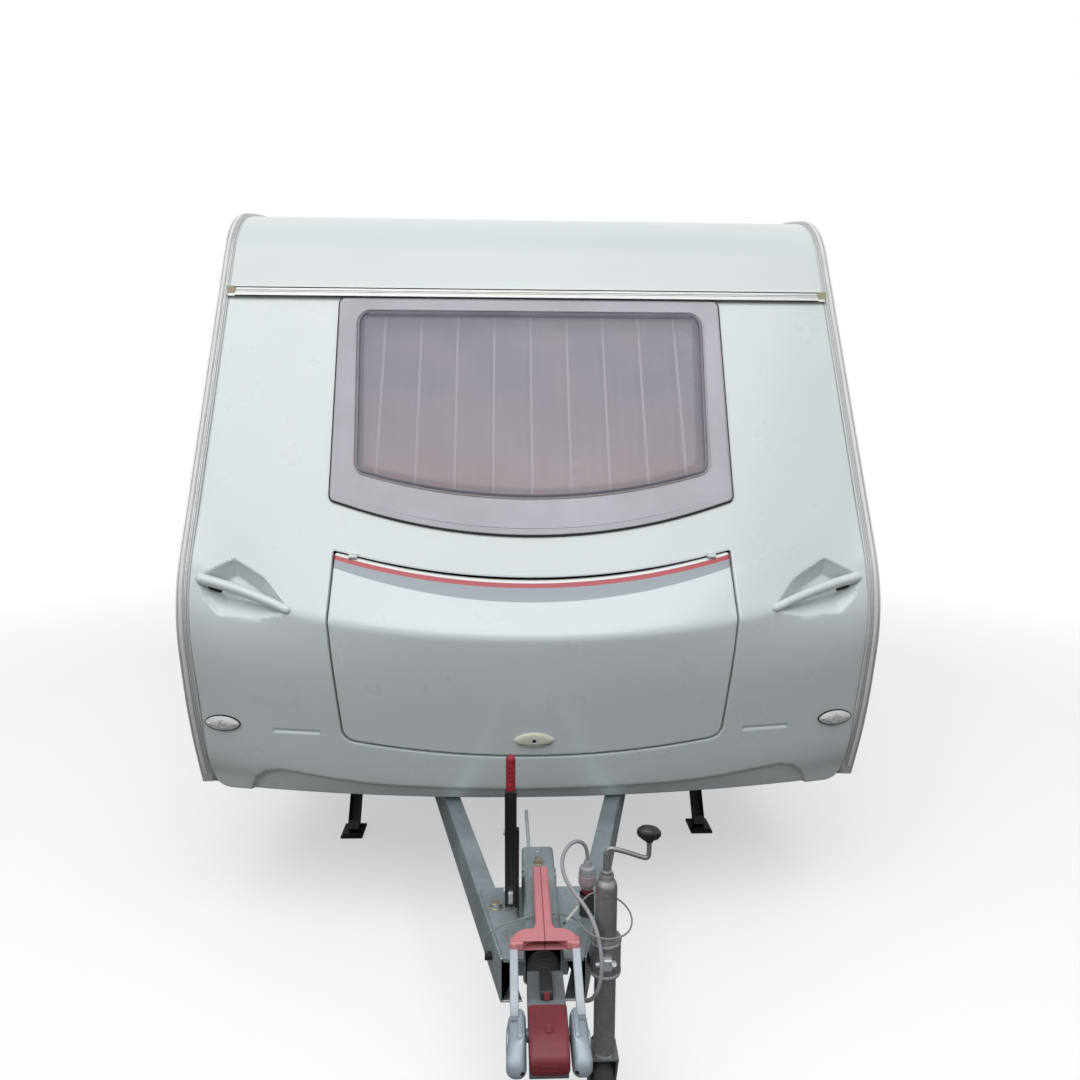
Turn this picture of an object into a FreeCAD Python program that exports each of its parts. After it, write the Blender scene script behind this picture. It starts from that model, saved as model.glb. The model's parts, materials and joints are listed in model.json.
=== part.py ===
import FreeCAD, Part
import math
import os
from FreeCAD import Vector

os.makedirs("parts", exist_ok=True)

# A touring caravan with one axle, standing on its wheels and jockey wheel.
# X runs across it, Y from the coupling at the front (minus) to the tail (plus), Z up from the ground.
# The origin lies on the ground, midway between the coupling's tip and the rear bumper.

# Overall sizes
overall_length = 5700
body_half_width = 1055
skirt_z = 438
roof_z = 2460
nose_setback = 1016
bumper_reach = 20
running_gap = 6
seat_gap = 0.3
overrun = 200

# Panels
wall_thickness = 30
roof_thickness = 35
floor_thickness = 40
panel_thickness = 30

tip_y = -overall_length / 2
tail_y = overall_length / 2 - bumper_reach
nose_y = tip_y + nose_setback
body_length = tail_y - nose_y
body_height = roof_z - skirt_z
inner_half_width = body_half_width - wall_thickness
floor_top_z = skirt_z + floor_thickness

# Places along and across the body are given for a body of these sizes, and follow when it changes
drawn_half_width = 1055
drawn_length = 4664
drawn_nose_y = -1834
across_share = body_half_width / drawn_half_width
along_share = body_length / drawn_length

# Side outline: share of the body's length, share of its height, corner radius
chin_radius = 1500 * along_share
nose_radius = 450 * along_share
brow_radius = 337 * along_share
forehead_radius = 3073 * along_share
rear_slope_radius = 2500 * along_share
rear_brow_radius = 240 * along_share
tail_radius = 600 * along_share
toe_share = 0.0373
outline_shares = [
    (toe_share, 0.0, 0),
    (0.0150, 0.1287, chin_radius),
    (0.0, 0.3183, nose_radius),
    (0.1430, 0.9376, brow_radius),
    (0.2524, 1.0, forehead_radius),
    (0.8542, 1.0, rear_slope_radius),
    (0.9773, 0.9653, rear_brow_radius),
    (1.0, 0.3020, tail_radius),
    (0.9914, 0.0, 0),
]


def solid_sum(shapes):
    """One shape from several that meet or overlap."""
    first, rest = shapes[0], shapes[1:]
    return first.fuse(rest).removeSplitter() if rest else first


def group(shapes):
    """Several solids of one node that do not touch."""
    return Part.makeCompound([s for shape in shapes for s in shape.Solids])


def mirrored(shape):
    return shape.mirror(Vector(0, 0, 0), Vector(1, 0, 0))


def both_sides(shape):
    return group([shape, mirrored(shape)])


def block(x0, x1, y0, y1, z0, z1):
    return Part.makeBox(x1 - x0, y1 - y0, z1 - z0, Vector(x0, y0, z0))


def rod(radius, start, end):
    start, end = Vector(*start), Vector(*end)
    return Part.makeCylinder(radius, (end - start).Length, start, end - start)


def pipe(radius, bore, start, end):
    return rod(radius, start, end).cut(rod(bore, start, end))


def rounded_wire(corners):
    """A closed wire through 3-D corners, each with its own radius."""
    points = [Vector(*c[:3]) for c in corners]
    edges, joints = [], []
    for i, corner in enumerate(corners):
        here, before, after = points[i], points[i - 1], points[(i + 1) % len(points)]
        to_before, to_after = (before - here).normalize(), (after - here).normalize()
        radius = corner[3]
        half = to_before.getAngle(to_after) / 2
        if radius <= 0 or half > math.radians(89.99):
            joints.append((here, here, here))
            continue
        reach = radius / math.tan(half)
        middle = (to_before + to_after).normalize() * (radius / math.sin(half) - radius)
        joints.append((here + to_before * reach, here + middle, here + to_after * reach))
    for i, (first, middle, last) in enumerate(joints):
        if (first - last).Length > 0:
            edges.append(Part.Arc(first, middle, last).toShape())
        ahead = joints[(i + 1) % len(joints)][0]
        if (ahead - last).Length > seat_gap / 1000:
            edges.append(Part.LineSegment(last, ahead).toShape())
    return Part.Wire(Part.__sortEdges__(edges))


def side_prism(corners, x0, x1):
    """Corners are (y, z, radius); the solid runs from x0 to x1."""
    wire = rounded_wire([(x0, y, z, r) for y, z, r in corners])
    return Part.Face(wire).extrude(Vector(x1 - x0, 0, 0))


def front_prism(corners, y0, y1):
    """Corners are (x, z, radius); the solid runs from y0 to y1."""
    wire = rounded_wire([(x, y0, z, r) for x, z, r in corners])
    return Part.Face(wire).extrude(Vector(0, y1 - y0, 0))


def plan_prism(corners, z0, z1):
    """Corners are (x, y, radius); the solid runs from z0 to z1."""
    wire = rounded_wire([(x, y, z0, r) for x, y, r in corners])
    return Part.Face(wire).extrude(Vector(0, 0, z1 - z0))


def symmetric(half):
    """The whole outline from its right half, given from the top centre round to the bottom."""
    left = [(-a, b, r) for a, b, r in reversed(half) if a > 0]
    return half + left


def rectangle(a0, a1, b0, b1, radius):
    return [(a0, b0, radius), (a1, b0, radius), (a1, b1, radius), (a0, b1, radius)]


def at_length(share):
    return nose_y + share * body_length


def at_height(share):
    return skirt_z + share * body_height


def along(drawn_y):
    return nose_y + (drawn_y - drawn_nose_y) * along_share


def placed(drawn_openings):
    """Side openings (y0, y1, z0, z1) moved along with the body."""
    return [(along(y0), along(y1), z0, z1) for y0, y1, z0, z1 in drawn_openings]


parts = {}


# Body shell: the side outline, its ring of roof and ends, and what is cut from them
outline = [(at_length(a), at_height(b), r) for a, b, r in outline_shares]


def body_block(inset, x0, x1):
    """The body's outline moved inwards by inset, or outwards where it is negative."""
    wire = rounded_wire([(x0, y, z, r) for y, z, r in outline])
    if inset:
        wire = wire.makeOffset2D(-inset)
    return Part.Face(wire).extrude(Vector(x1 - x0, 0, 0))


# Front moulding: half-width shares at which its sections stand, and the lines they follow
section_shares = [-1, -0.8, -0.6, -0.4, -0.2, 0, 0.2, 0.4, 0.6, 0.8, 1]
rail_z = 2052
chin_z = 488
chin_rise = 10
chin_middle_y = nose_y + 9 * along_share
chin_side_y = nose_y + 152 * along_share
toe_middle_y = nose_y + 46 * along_share
toe_side_y = at_length(toe_share)
low_crease_z = 998
low_crease_rise = 90
low_crease_flick = 120
low_crease_middle_y = nose_y - 104 * along_share
low_crease_side_y = nose_y + 67 * along_share
high_crease_z = 1081
high_crease_rise = 280
high_crease_middle_y = nose_y - 16 * along_share
high_crease_side_y = nose_y + 154 * along_share
rail_line_y = nose_y + 517 * along_share
cheek_bow = 8
cheek_bow_side = 62
cheek_shares = [(0.3, 0.71), (0.55, 1.0), (0.75, 0.98), (0.9, 0.52)]


def front_section(share, lift, depth):
    """Closed section of the front moulding: its outer line moved out by lift, and depth behind."""
    u = abs(share)
    square = u * u
    x = share * inner_half_width

    def between(middle, side):
        return middle + (side - middle) * square

    toe = (between(toe_middle_y, toe_side_y), skirt_z)
    chin = (between(chin_middle_y, chin_side_y), chin_z + chin_rise * square)
    low = (
        between(low_crease_middle_y, low_crease_side_y),
        low_crease_z + low_crease_rise * square + low_crease_flick * square ** 3,
    )
    high = (
        between(high_crease_middle_y, high_crease_side_y),
        high_crease_z + high_crease_rise * square,
    )
    top = (rail_line_y, rail_z)
    bow = cheek_bow + cheek_bow_side * square * square
    cheek = [chin]
    for along, out in cheek_shares:
        y = chin[0] + (low[0] - chin[0]) * along - bow * out
        cheek.append((y, chin[1] + (low[1] - chin[1]) * along))
    cheek.append(low)

    def line(a, b, shift):
        return Part.LineSegment(Vector(x, a[0] + shift, a[1]), Vector(x, b[0] + shift, b[1])).toShape()

    def curve(points, shift):
        spline = Part.BSplineCurve()
        spline.interpolate([Vector(x, y + shift, z) for y, z in points])
        return spline.toShape()

    outer, inner = -lift, depth - lift
    edges = [
        line(toe, chin, outer),
        curve(cheek, outer),
        line(low, high, outer),
        line(high, top, outer),
        Part.LineSegment(Vector(x, top[0] + outer, top[1]), Vector(x, top[0] + inner, top[1])).toShape(),
        line(top, high, inner),
        line(high, low, inner),
        curve(cheek[::-1], inner),
        line(chin, toe, inner),
        Part.LineSegment(Vector(x, toe[0] + inner, toe[1]), Vector(x, toe[0] + outer, toe[1])).toShape(),
    ]
    return Part.Wire(edges)


def front_skin(lift, depth):
    return Part.makeLoft([front_section(s, lift, depth) for s in section_shares], True, False)


def bow_radius(half_width, bow):
    """Radius for the middle corner of a bowed edge, so that it runs close to both ends."""
    ease_share = 0.9
    return ease_share * (half_width ** 2 + bow ** 2) / (2 * bow)


# Front window
window_top_half = 649 * across_share
window_foot_half = 629 * across_share
window_top_z = 2033
window_corner_z = 1372
window_bow = 95
window_corner_radius = 22
window_lap = 22
window_rim = 9
pane_top_half = 584 * across_share
pane_foot_half = 556 * across_share
pane_top_z = 1986
pane_corner_z = 1460
pane_bow = 71
pane_corner_radius = 42
pane_lift = 20


def bowed_outline(top_half, foot_half, top_z, corner_z, bow, radius):
    return symmetric([
        (top_half, top_z, radius),
        (foot_half, corner_z, radius),
        (0, corner_z - 2 * bow, bow_radius(foot_half, bow)),
    ])


window_outline = bowed_outline(
    window_top_half, window_foot_half, window_top_z, window_corner_z, window_bow, window_corner_radius)
window_hole_outline = bowed_outline(
    window_top_half - window_lap, window_foot_half - window_lap, window_top_z - window_lap,
    window_corner_z + window_lap, window_bow, window_corner_radius)
window_plug_outline = bowed_outline(
    window_top_half - window_lap - seat_gap, window_foot_half - window_lap - seat_gap,
    window_top_z - window_lap - seat_gap, window_corner_z + window_lap + seat_gap,
    window_bow, window_corner_radius)
pane_outline = bowed_outline(
    pane_top_half, pane_foot_half, pane_top_z, pane_corner_z, pane_bow, pane_corner_radius)

# Gas locker in the nose: opening, lid, latch and the box behind
lid_top_half = 599 * across_share
lid_waist_half = 603 * across_share
lid_foot_half = 576 * across_share
lid_top_z = 1219
lid_waist_z = 1033
lid_foot_z = 655
lid_top_bow = 72
lid_foot_bow = 40
lid_corner_radius = 14
lid_foot_radius = 45
lid_thickness = 22
lid_gap = 6.5
lid_swing_gap = 7
locker_lip = 14
locker_back_y = nose_y + 450
locker_board = 15
latch_half = 60
latch_height = 48
latch_z = 664
latch_lift = 9


def lid_outline(grow):
    """Lid's edge in front view, moved out by grow."""
    return symmetric([
        (lid_top_half + grow, lid_top_z + grow, lid_corner_radius),
        (lid_waist_half + grow, lid_waist_z, lid_foot_radius),
        (lid_foot_half + grow, lid_foot_z - grow, lid_foot_radius),
        (0, lid_foot_z - 2 * lid_foot_bow - grow, bow_radius(lid_foot_half, lid_foot_bow)),
    ])


def lid_prism(grow, bow_depth, y0, y1):
    sheet = front_prism(lid_outline(grow), y0, y1)
    bow = front_prism([
        (lid_top_half + grow + overrun, lid_top_z + grow + overrun, 0),
        (lid_top_half + grow, lid_top_z + grow, 0),
        (0, lid_top_z - 2 * bow_depth + grow, bow_radius(lid_top_half, bow_depth)),
        (-lid_top_half - grow, lid_top_z + grow, 0),
        (-lid_top_half - grow - overrun, lid_top_z + grow + overrun, 0),
    ], y0, y1)
    return sheet.cut(bow)


# Small features of the front moulding
chin_step_z = 485
chin_step_corners = [(625, 507, 60), (820, 528, 25), (905, 426, 0)]
chin_outline = symmetric([(0, chin_step_z, 0)] + [(x * across_share, z, r) for x, z, r in chin_step_corners])
chin_recess_depth = 14
grab_corners = [(899, 1200), (1002, 1148), (862, 1046), (716, 1056)]
grab_radius = 14
grab_depth = 24
bar_radius = 12
bar_places = [(998, 1141), (724, 1060)]
marker_x = 957 * across_share
marker_z = 690
marker_half = 56
marker_height = 50
marker_depth = 12
groove_x0 = 648 * across_share
groove_x1 = 798 * across_share
groove_z = 673
groove_height = 18
groove_depth = 8

front_reach_y = tip_y + nose_setback - overrun
front_back_y = rail_line_y + overrun


def front_feature(corners, lift, depth):
    """A patch of the front moulding's skin inside an outline in front view."""
    return front_prism(corners, front_reach_y, front_back_y).common(front_skin(lift, depth))


def front_y(x, z):
    """Outer face of the front moulding at a point of the front view."""
    sight = Part.LineSegment(Vector(x, front_reach_y - overrun, z), Vector(x, front_back_y, z)).toShape()
    return min(v.Point.y for v in sight.common(front_skin(0, panel_thickness)).Vertexes)


front_panel = front_skin(0, panel_thickness)
lid_cutter = lid_prism(lid_gap, lid_top_bow - lid_swing_gap, front_reach_y, front_back_y)
window_cutter = front_prism(window_hole_outline, front_reach_y, front_back_y)
front_panel = front_panel.cut([lid_cutter, window_cutter])
front_panel = front_panel.cut(front_feature(chin_outline, overrun, overrun + chin_recess_depth))

grab_outline = [(x * across_share, z, grab_radius) for x, z in grab_corners]
grab_cutter = front_feature(grab_outline, overrun, overrun + grab_depth)
marker_outline = rectangle(
    marker_x - marker_half, marker_x + marker_half,
    marker_z - marker_height / 2, marker_z + marker_height / 2, marker_height / 2 - seat_gap)
marker_seat = front_feature(marker_outline, overrun, overrun + marker_depth / 2)
groove_cutter = front_feature(
    rectangle(groove_x0, groove_x1, groove_z - groove_height / 2, groove_z + groove_height / 2,
              groove_height / 3), overrun, overrun + groove_depth)
for cutter in (grab_cutter, marker_seat, groove_cutter):
    front_panel = front_panel.cut([cutter, mirrored(cutter)])
parts["front_panel"] = front_panel

lid_hinge_x0 = 530 * across_share
lid_hinge_x1 = 556 * across_share
lid_hinge_radius = 5
lid_hinge_standoff = 6.6
lid_hinge_leaf = 9
lid_hinge_x = (lid_hinge_x0 + lid_hinge_x1) / 2
upright_sight = Part.LineSegment(
    Vector(lid_hinge_x, nose_y, lid_waist_z), Vector(lid_hinge_x, nose_y, roof_z)).toShape()
lid_shape = lid_prism(0, lid_top_bow, front_reach_y, front_back_y)
lid_edge_z = max(v.Point.z for v in upright_sight.common(lid_shape).Vertexes)
lid_hinge_z = round(lid_edge_z + running_gap / 2, 1)
lid_hinge_y = front_y(lid_hinge_x, lid_hinge_z) - lid_hinge_standoff
lid_hinge = solid_sum([
    rod(lid_hinge_radius, (lid_hinge_x0, lid_hinge_y, lid_hinge_z), (lid_hinge_x1, lid_hinge_y, lid_hinge_z)),
    block(lid_hinge_x0, lid_hinge_x1, lid_hinge_y, lid_hinge_y + overrun,
          lid_hinge_z, lid_hinge_z + lid_hinge_leaf),
]).cut(front_skin(seat_gap, panel_thickness))
lid_hinge = min(lid_hinge.Solids, key=lambda solid: solid.BoundBox.YMin)
print("lid hinge axis", round(lid_hinge_y, 1), lid_hinge_z)

window_frame = front_feature(window_outline, window_rim + seat_gap, window_rim)
window_plug = front_feature(window_plug_outline, window_rim + seat_gap, window_rim + panel_thickness)
window_pane = front_feature(pane_outline, pane_lift, pane_lift + panel_thickness / 2)
parts["front_window"] = solid_sum([window_frame, window_plug, window_pane])

lid = lid_shape.common(front_skin(0, lid_thickness))
latch_outline = rectangle(-latch_half, latch_half, latch_z - latch_height / 2, latch_z + latch_height / 2,
                          latch_height / 2 - seat_gap)
latch_seat = front_feature(latch_outline, overrun, overrun + latch_lift)
parts["locker_lid"] = lid.cut(latch_seat)
parts["locker_latch"] = front_feature(latch_outline, latch_lift, 2 * latch_lift)

marker = front_feature(marker_outline, marker_depth / 2, marker_depth)
parts["marker_lamps"] = both_sides(marker)


bar_line = [(x * across_share, z) for x, z in bar_places]
bar_ends = [(x, front_y(x, z) + bar_radius / 2, z) for x, z in bar_line]
grab_bar = solid_sum([rod(bar_radius, bar_ends[0], bar_ends[1])]
                     + [Part.makeSphere(bar_radius, Vector(*end)) for end in bar_ends])
parts["grab_handles"] = both_sides(grab_bar.cut(parts["front_panel"]))

# Roof, tail and side walls
tail_split_z = 2120
floor_rear_y = at_length(outline_shares[-1][0]) - roof_thickness
ring = body_block(0, -inner_half_width, inner_half_width).cut(
    body_block(roof_thickness, -inner_half_width - overrun, inner_half_width + overrun))
middle_y = (nose_y + tail_y) / 2
far = overall_length
upper = block(-far, far, -far, middle_y, rail_z + seat_gap, far).fuse(
    block(-far, far, middle_y, far, tail_split_z, far))
lower_tail = block(-far, far, middle_y, far, skirt_z, tail_split_z)

rooflight_places = [(520, 400), (1650, 280)]
rooflight_upstand = 40
rooflight_lap = 35
rooflight_radius = 40
roof = ring.common(upper)
tail = ring.common(lower_tail).cut(block(-far, far, middle_y, floor_rear_y, 0, floor_top_z))
dome_parts = []
for drawn_y, opening in rooflight_places:
    centre, half = along(drawn_y), opening / 2
    shaft = plan_prism(rectangle(-half, half, centre - half, centre + half, rooflight_radius), 0, far)
    roof = roof.cut(shaft)
    lap = half + rooflight_lap
    dome = plan_prism(rectangle(-lap, lap, centre - lap, centre + lap, rooflight_radius),
                      roof_z + seat_gap, roof_z + rooflight_upstand)
    rim_edges = [e for e in dome.Edges if e.BoundBox.ZMin > roof_z + rooflight_upstand - seat_gap]
    dome_parts.append(dome.makeFillet(rooflight_upstand / 2, rim_edges))
parts["rooflights"] = group(dome_parts)

# Tail window and lamps
tail_window_half = 700 * across_share
tail_window_z0 = 1330
tail_window_z1 = 1900
side_window_radius = 60
pane_lap = 18
pane_thick = 10
lamp_half = 150
lamp_height = 260
lamp_x = 850 * across_share
lamp_z = 780
lamp_depth = 32
bumper_height = 120
bumper_half = 1000 * across_share
bumper_z = 500


def tail_prism(corners, y0):
    return front_prism(corners, y0, far)


def tail_skin(lift, depth):
    """Skin over the tail wall, from lift outside it to depth further in."""
    return body_block(-lift, -inner_half_width, inner_half_width).cut(
        body_block(depth - lift, -far, far))


tail_hole = rectangle(-tail_window_half, tail_window_half, tail_window_z0, tail_window_z1, side_window_radius)
tail = tail.cut(tail_prism(tail_hole, middle_y))
tail_lap = rectangle(-tail_window_half - pane_lap, tail_window_half + pane_lap,
                     tail_window_z0 - pane_lap, tail_window_z1 + pane_lap, side_window_radius + pane_lap)
tail_fit = rectangle(-tail_window_half + seat_gap, tail_window_half - seat_gap,
                     tail_window_z0 + seat_gap, tail_window_z1 - seat_gap, side_window_radius)
tail_pane = solid_sum([
    tail_prism(tail_lap, middle_y).common(tail_skin(pane_thick + seat_gap, pane_thick)),
    tail_prism(tail_fit, middle_y).common(tail_skin(pane_thick + seat_gap, pane_thick + roof_thickness)),
])
parts["tail_panel"] = tail
parts["roof"] = roof

lamp_outline = rectangle(lamp_x - lamp_half, lamp_x + lamp_half, lamp_z - lamp_height / 2,
                         lamp_z + lamp_height / 2, lamp_half / 3)
lamp_lift = lamp_depth - bumper_reach / 2
tail_lamp = tail_prism(lamp_outline, middle_y).common(tail_skin(lamp_lift, lamp_lift - seat_gap))
parts["tail_lamps"] = both_sides(tail_lamp)
bumper_outline = rectangle(-bumper_half, bumper_half, bumper_z - bumper_height / 2,
                           bumper_z + bumper_height / 2, bumper_height / 4)
bumper = tail_prism(bumper_outline, middle_y).cut(body_block(-seat_gap, -far, far)).common(
    block(-far, far, middle_y, overall_length / 2, 0, far))
parts["rear_bumper"] = bumper

# Door in the kerb-side wall, its window and handle
door_drawn_y = -720
door_y0 = along(door_drawn_y)
door_width = 590
door_z0 = floor_top_z + running_gap
door_height = 1760
door_radius = 70
door_window_inset = 95
door_window_height = 620
door_window_drop = 150
door_lip = 16
handle_z = 1330
handle_length = 150
handle_height = 46
handle_lift = 34
door_y1 = door_y0 + door_width
door_z1 = door_z0 + door_height

# Axle, wheels and their housings
axle_drawn_y = 800
axle_y = along(axle_drawn_y)
tyre_radius = 307
tyre_width = 185
rim_radius = 178
wheel_x = 915 * across_share
arch_radius = 368
wheel_box_side = 30
wheel_box_sheet = 12
wheel_box_top_z = tyre_radius + arch_radius + wheel_box_side

# Side windows: y0, y1, z0, z1 on the kerb side and on the off side
kerb_openings = [(-1290, -800, 1340, 1860), (160, 700, 1380, 1900), (1500, 2200, 1340, 1900)]
off_openings = [(-1290, -500, 1340, 1860), (300, 760, 1560, 1900), (1500, 2300, 1340, 1900)]
kerb_windows = placed(kerb_openings)
off_windows = placed(off_openings)
vent_places = [(-150, 290, 700, 900), (-150, 290, 1180, 1320)]
vent_radius = 12
vent_lift = 9
hatch_places = [(1850, 2450, 560, 900)]
hatch_radius = 30
hatch_lift = 5

arch_cutter_right = rod(arch_radius, (0, axle_y, tyre_radius), (far, axle_y, tyre_radius))
wall = body_block(0, inner_half_width + seat_gap, body_half_width).cut(arch_cutter_right)


def opening_prism(y0, y1, z0, z1, radius, x0, x1):
    return side_prism(rectangle(y0, y1, z0, z1, radius), x0, x1)


def wall_windows(places):
    """Cutters for a wall's openings, and the panes that fill them, on the +X side."""
    cutters, panes = [], []
    for y0, y1, z0, z1 in places:
        cutters.append(opening_prism(y0, y1, z0, z1, side_window_radius, 0, far))
        panes.append(solid_sum([
            opening_prism(y0 - pane_lap, y1 + pane_lap, z0 - pane_lap, z1 + pane_lap,
                          side_window_radius + pane_lap, body_half_width + seat_gap,
                          body_half_width + pane_thick),
            opening_prism(y0 + seat_gap, y1 - seat_gap, z0 + seat_gap, z1 - seat_gap, side_window_radius,
                          inner_half_width, body_half_width + pane_thick),
        ]))
    return cutters, panes


off_cutters, off_panes = wall_windows(off_windows)
kerb_cutters, kerb_panes = wall_windows(kerb_windows)
parts["side_wall_left"] = wall.cut(off_cutters)
doorway = opening_prism(door_y0, door_y1, door_z0, door_z1, door_radius, 0, far)
parts["side_wall_right"] = mirrored(wall.cut(kerb_cutters + [doorway]))
parts["cabin_windows"] = group(off_panes + [mirrored(pane) for pane in kerb_panes] + [tail_pane])

door_leaf = opening_prism(door_y0 + running_gap, door_y1 - running_gap, door_z0 + running_gap,
                          door_z1 - running_gap, door_radius - running_gap, inner_half_width, body_half_width)
door_pane_y0 = door_y0 + door_window_inset
door_pane_y1 = door_y1 - door_window_inset
door_pane_z1 = door_z1 - door_window_drop
door_pane_z0 = door_pane_z1 - door_window_height
door_cutters, door_panes = wall_windows([(door_pane_y0, door_pane_y1, door_pane_z0, door_pane_z1)])
parts["door"] = mirrored(door_leaf.cut(door_cutters))
parts["door_window"] = mirrored(group(door_panes))
handle_y1 = door_y1 - running_gap - door_lip
door_handle = opening_prism(handle_y1 - handle_length, handle_y1, handle_z - handle_height / 2,
                            handle_z + handle_height / 2, handle_height / 3, body_half_width + seat_gap,
                            body_half_width + handle_lift)
parts["door_handle"] = mirrored(door_handle)

hinge_radius = 7.5
hinge_length = 70
hinge_x = body_half_width + hinge_radius + seat_gap
hinge_y = door_y0 + running_gap
hinge_leaf = 26
hinge_leaf_sheet = 3
hinge_heights = [door_z0 + door_radius + hinge_length, (door_z0 + door_z1) / 2,
                 door_z1 - door_radius - hinge_length]
door_hinges = []
for z in hinge_heights:
    low, high = z - hinge_length / 2, z + hinge_length / 2
    door_hinges.append(solid_sum([
        rod(hinge_radius, (hinge_x, hinge_y, low), (hinge_x, hinge_y, high)),
        block(body_half_width, body_half_width + hinge_leaf_sheet, hinge_y - running_gap - hinge_leaf,
              hinge_y, low, high),
    ]))
parts["hinges"] = group([lid_hinge, mirrored(lid_hinge)] + [mirrored(hinge) for hinge in door_hinges])

vent_panels = [
    opening_prism(y0, y1, z0, z1, vent_radius, body_half_width + seat_gap, body_half_width + vent_lift)
    for y0, y1, z0, z1 in placed(vent_places)]
hatch_panels = [
    opening_prism(y0, y1, z0, z1, hatch_radius, body_half_width + seat_gap, body_half_width + hatch_lift)
    for y0, y1, z0, z1 in placed(hatch_places)]
parts["service_covers"] = group(vent_panels + hatch_panels)

# Aluminium rails round both edges of the body and across the front
rail_proud = 7
rail_lap = 24
rail_face = 5
front_rail_height = 34
front_rail_depth = 12


def edge_rail():
    over = body_block(-rail_proud, inner_half_width + rail_face, body_half_width + rail_face).cut(
        body_block(-seat_gap, 0, far))
    strap = body_block(-rail_proud, body_half_width + seat_gap, body_half_width + rail_face).cut(
        body_block(rail_lap, 0, far))
    rail = solid_sum([over, strap])
    return rail.cut(block(-far, far, -far, far, -far, skirt_z + rail_lap))


rail = edge_rail().cut([front_skin(seat_gap, panel_thickness), arch_cutter_right])

front_rail_half = inner_half_width + rail_face - seat_gap
front_rail = front_skin(front_rail_depth, front_rail_depth - seat_gap).common(
    block(-front_rail_half, front_rail_half, -far, 0, rail_z - front_rail_height / 2, far))
brow_strip = body_block(-front_rail_depth, -front_rail_half, front_rail_half).cut(
    body_block(-seat_gap, -far, far)).common(
    block(-far, far, -far, 0, rail_z, rail_z + front_rail_height / 2))
front_strip = solid_sum([front_rail, brow_strip]).cut(both_sides(rail))
parts["body_rails"] = group([rail, mirrored(rail), front_strip])

# Floor and the housings over the wheels
box_inner_x = wheel_x - tyre_width / 2 - wheel_box_side
box_y0 = axle_y - arch_radius - wheel_box_side
box_y1 = axle_y + arch_radius + wheel_box_side
floor_front_y = chin_middle_y
floor = block(-inner_half_width, inner_half_width, floor_front_y, floor_rear_y, skirt_z, floor_top_z)
well = block(box_inner_x, inner_half_width + seat_gap, box_y0, box_y1, 0, wheel_box_top_z)
floor = floor.cut([well, mirrored(well)])
floor = floor.cut(front_skin(overrun, overrun + panel_thickness + seat_gap))
floor = max(floor.Solids, key=lambda solid: solid.Volume)
inner_well = block(box_inner_x + wheel_box_sheet, far, box_y0 + wheel_box_sheet, box_y1 - wheel_box_sheet,
                   0, wheel_box_top_z - wheel_box_sheet)
wheel_box = block(box_inner_x, inner_half_width, box_y0, box_y1, skirt_z, wheel_box_top_z).cut(inner_well)
parts["floor"] = solid_sum([floor, wheel_box, mirrored(wheel_box)])

arch_trim_width = 45
arch_trim_lift = 14
arch_ring = rod(arch_radius + arch_trim_width, (body_half_width + seat_gap, axle_y, tyre_radius),
                (body_half_width + arch_trim_lift, axle_y, tyre_radius))
arch_ring = arch_ring.cut([arch_cutter_right, block(0, far, -far, far, -far, skirt_z)])
parts["wheel_arch_trims"] = both_sides(arch_ring)

# Locker box behind the lid
shelf = block(-inner_half_width, inner_half_width, front_reach_y, locker_back_y,
              lid_top_z + locker_lip, lid_top_z + locker_lip + locker_board)
shelf = shelf.cut(front_skin(overrun, overrun + panel_thickness + seat_gap))
shelf = max(shelf.Solids, key=lambda s: s.Volume)
bulkhead = block(-inner_half_width, inner_half_width, locker_back_y, locker_back_y + locker_board,
                 floor_top_z, lid_top_z + locker_lip + locker_board)
parts["locker_box"] = solid_sum([shelf, bulkhead])

# Chassis: two long rails, cross members, drawbar
rail_x = 505 * across_share
rail_width = 50
rail_height = 108
rail_web = 5
chassis_drawn_ends = (-960, 2500)
chassis_y0, chassis_y1 = [along(y) for y in chassis_drawn_ends]
chassis_top_z = skirt_z
chassis_bottom_z = chassis_top_z - rail_height


def channel(width, height, web, length):
    """C-section along +Y, open towards -X, with its back on x = 0 and its top at z = 0."""
    outer = block(-width, 0, 0, length, -height, 0)
    return outer.cut(block(-width - overrun, -web, -overrun, length + overrun, -height + web, -web))


long_rail = channel(rail_width, rail_height, rail_web, chassis_y1 - chassis_y0)
long_rail.translate(Vector(rail_x + rail_width / 2, chassis_y0, chassis_top_z))
parts["chassis_rails"] = both_sides(long_rail)

arm_width = 50
arm_height = 108
arm_web = 6
arm_top_z = 432
arm_front_x = 71
arm_front_y = tip_y + 290
arm_bend_x = rail_x - rail_width / 2 - arm_width / 2
arm_drawn_ys = (-870, -520)
arm_bend_y, arm_end_y = [along(y) for y in arm_drawn_ys]


def arm_path(offset):
    """Plan line of a drawbar arm, offset from its middle line."""
    return [(arm_front_x + offset, arm_front_y), (arm_bend_x + offset, arm_bend_y),
            (arm_bend_x + offset, arm_end_y)]


def arm_plan(inner, outer, z0, z1):
    line = [(x, y, 0) for x, y in arm_path(outer)] + [(x, y, 0) for x, y in reversed(arm_path(inner))]
    return plan_prism(line, z0, z1)


arm = arm_plan(-arm_width / 2, arm_width / 2, arm_top_z - arm_height, arm_top_z).cut(
    arm_plan(-arm_width / 2 - overrun, arm_width / 2 - arm_web, arm_top_z - arm_height + arm_web,
             arm_top_z - arm_web))
parts["drawbar_arms"] = both_sides(arm)

# Cross members: place along the body, inner half-width
cross_height = 60
cross_width = 45
cross_reach = 760 * across_share
cross_drawn_ys = (-905, 2330)
cross_y = [along(y) for y in cross_drawn_ys]


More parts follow.
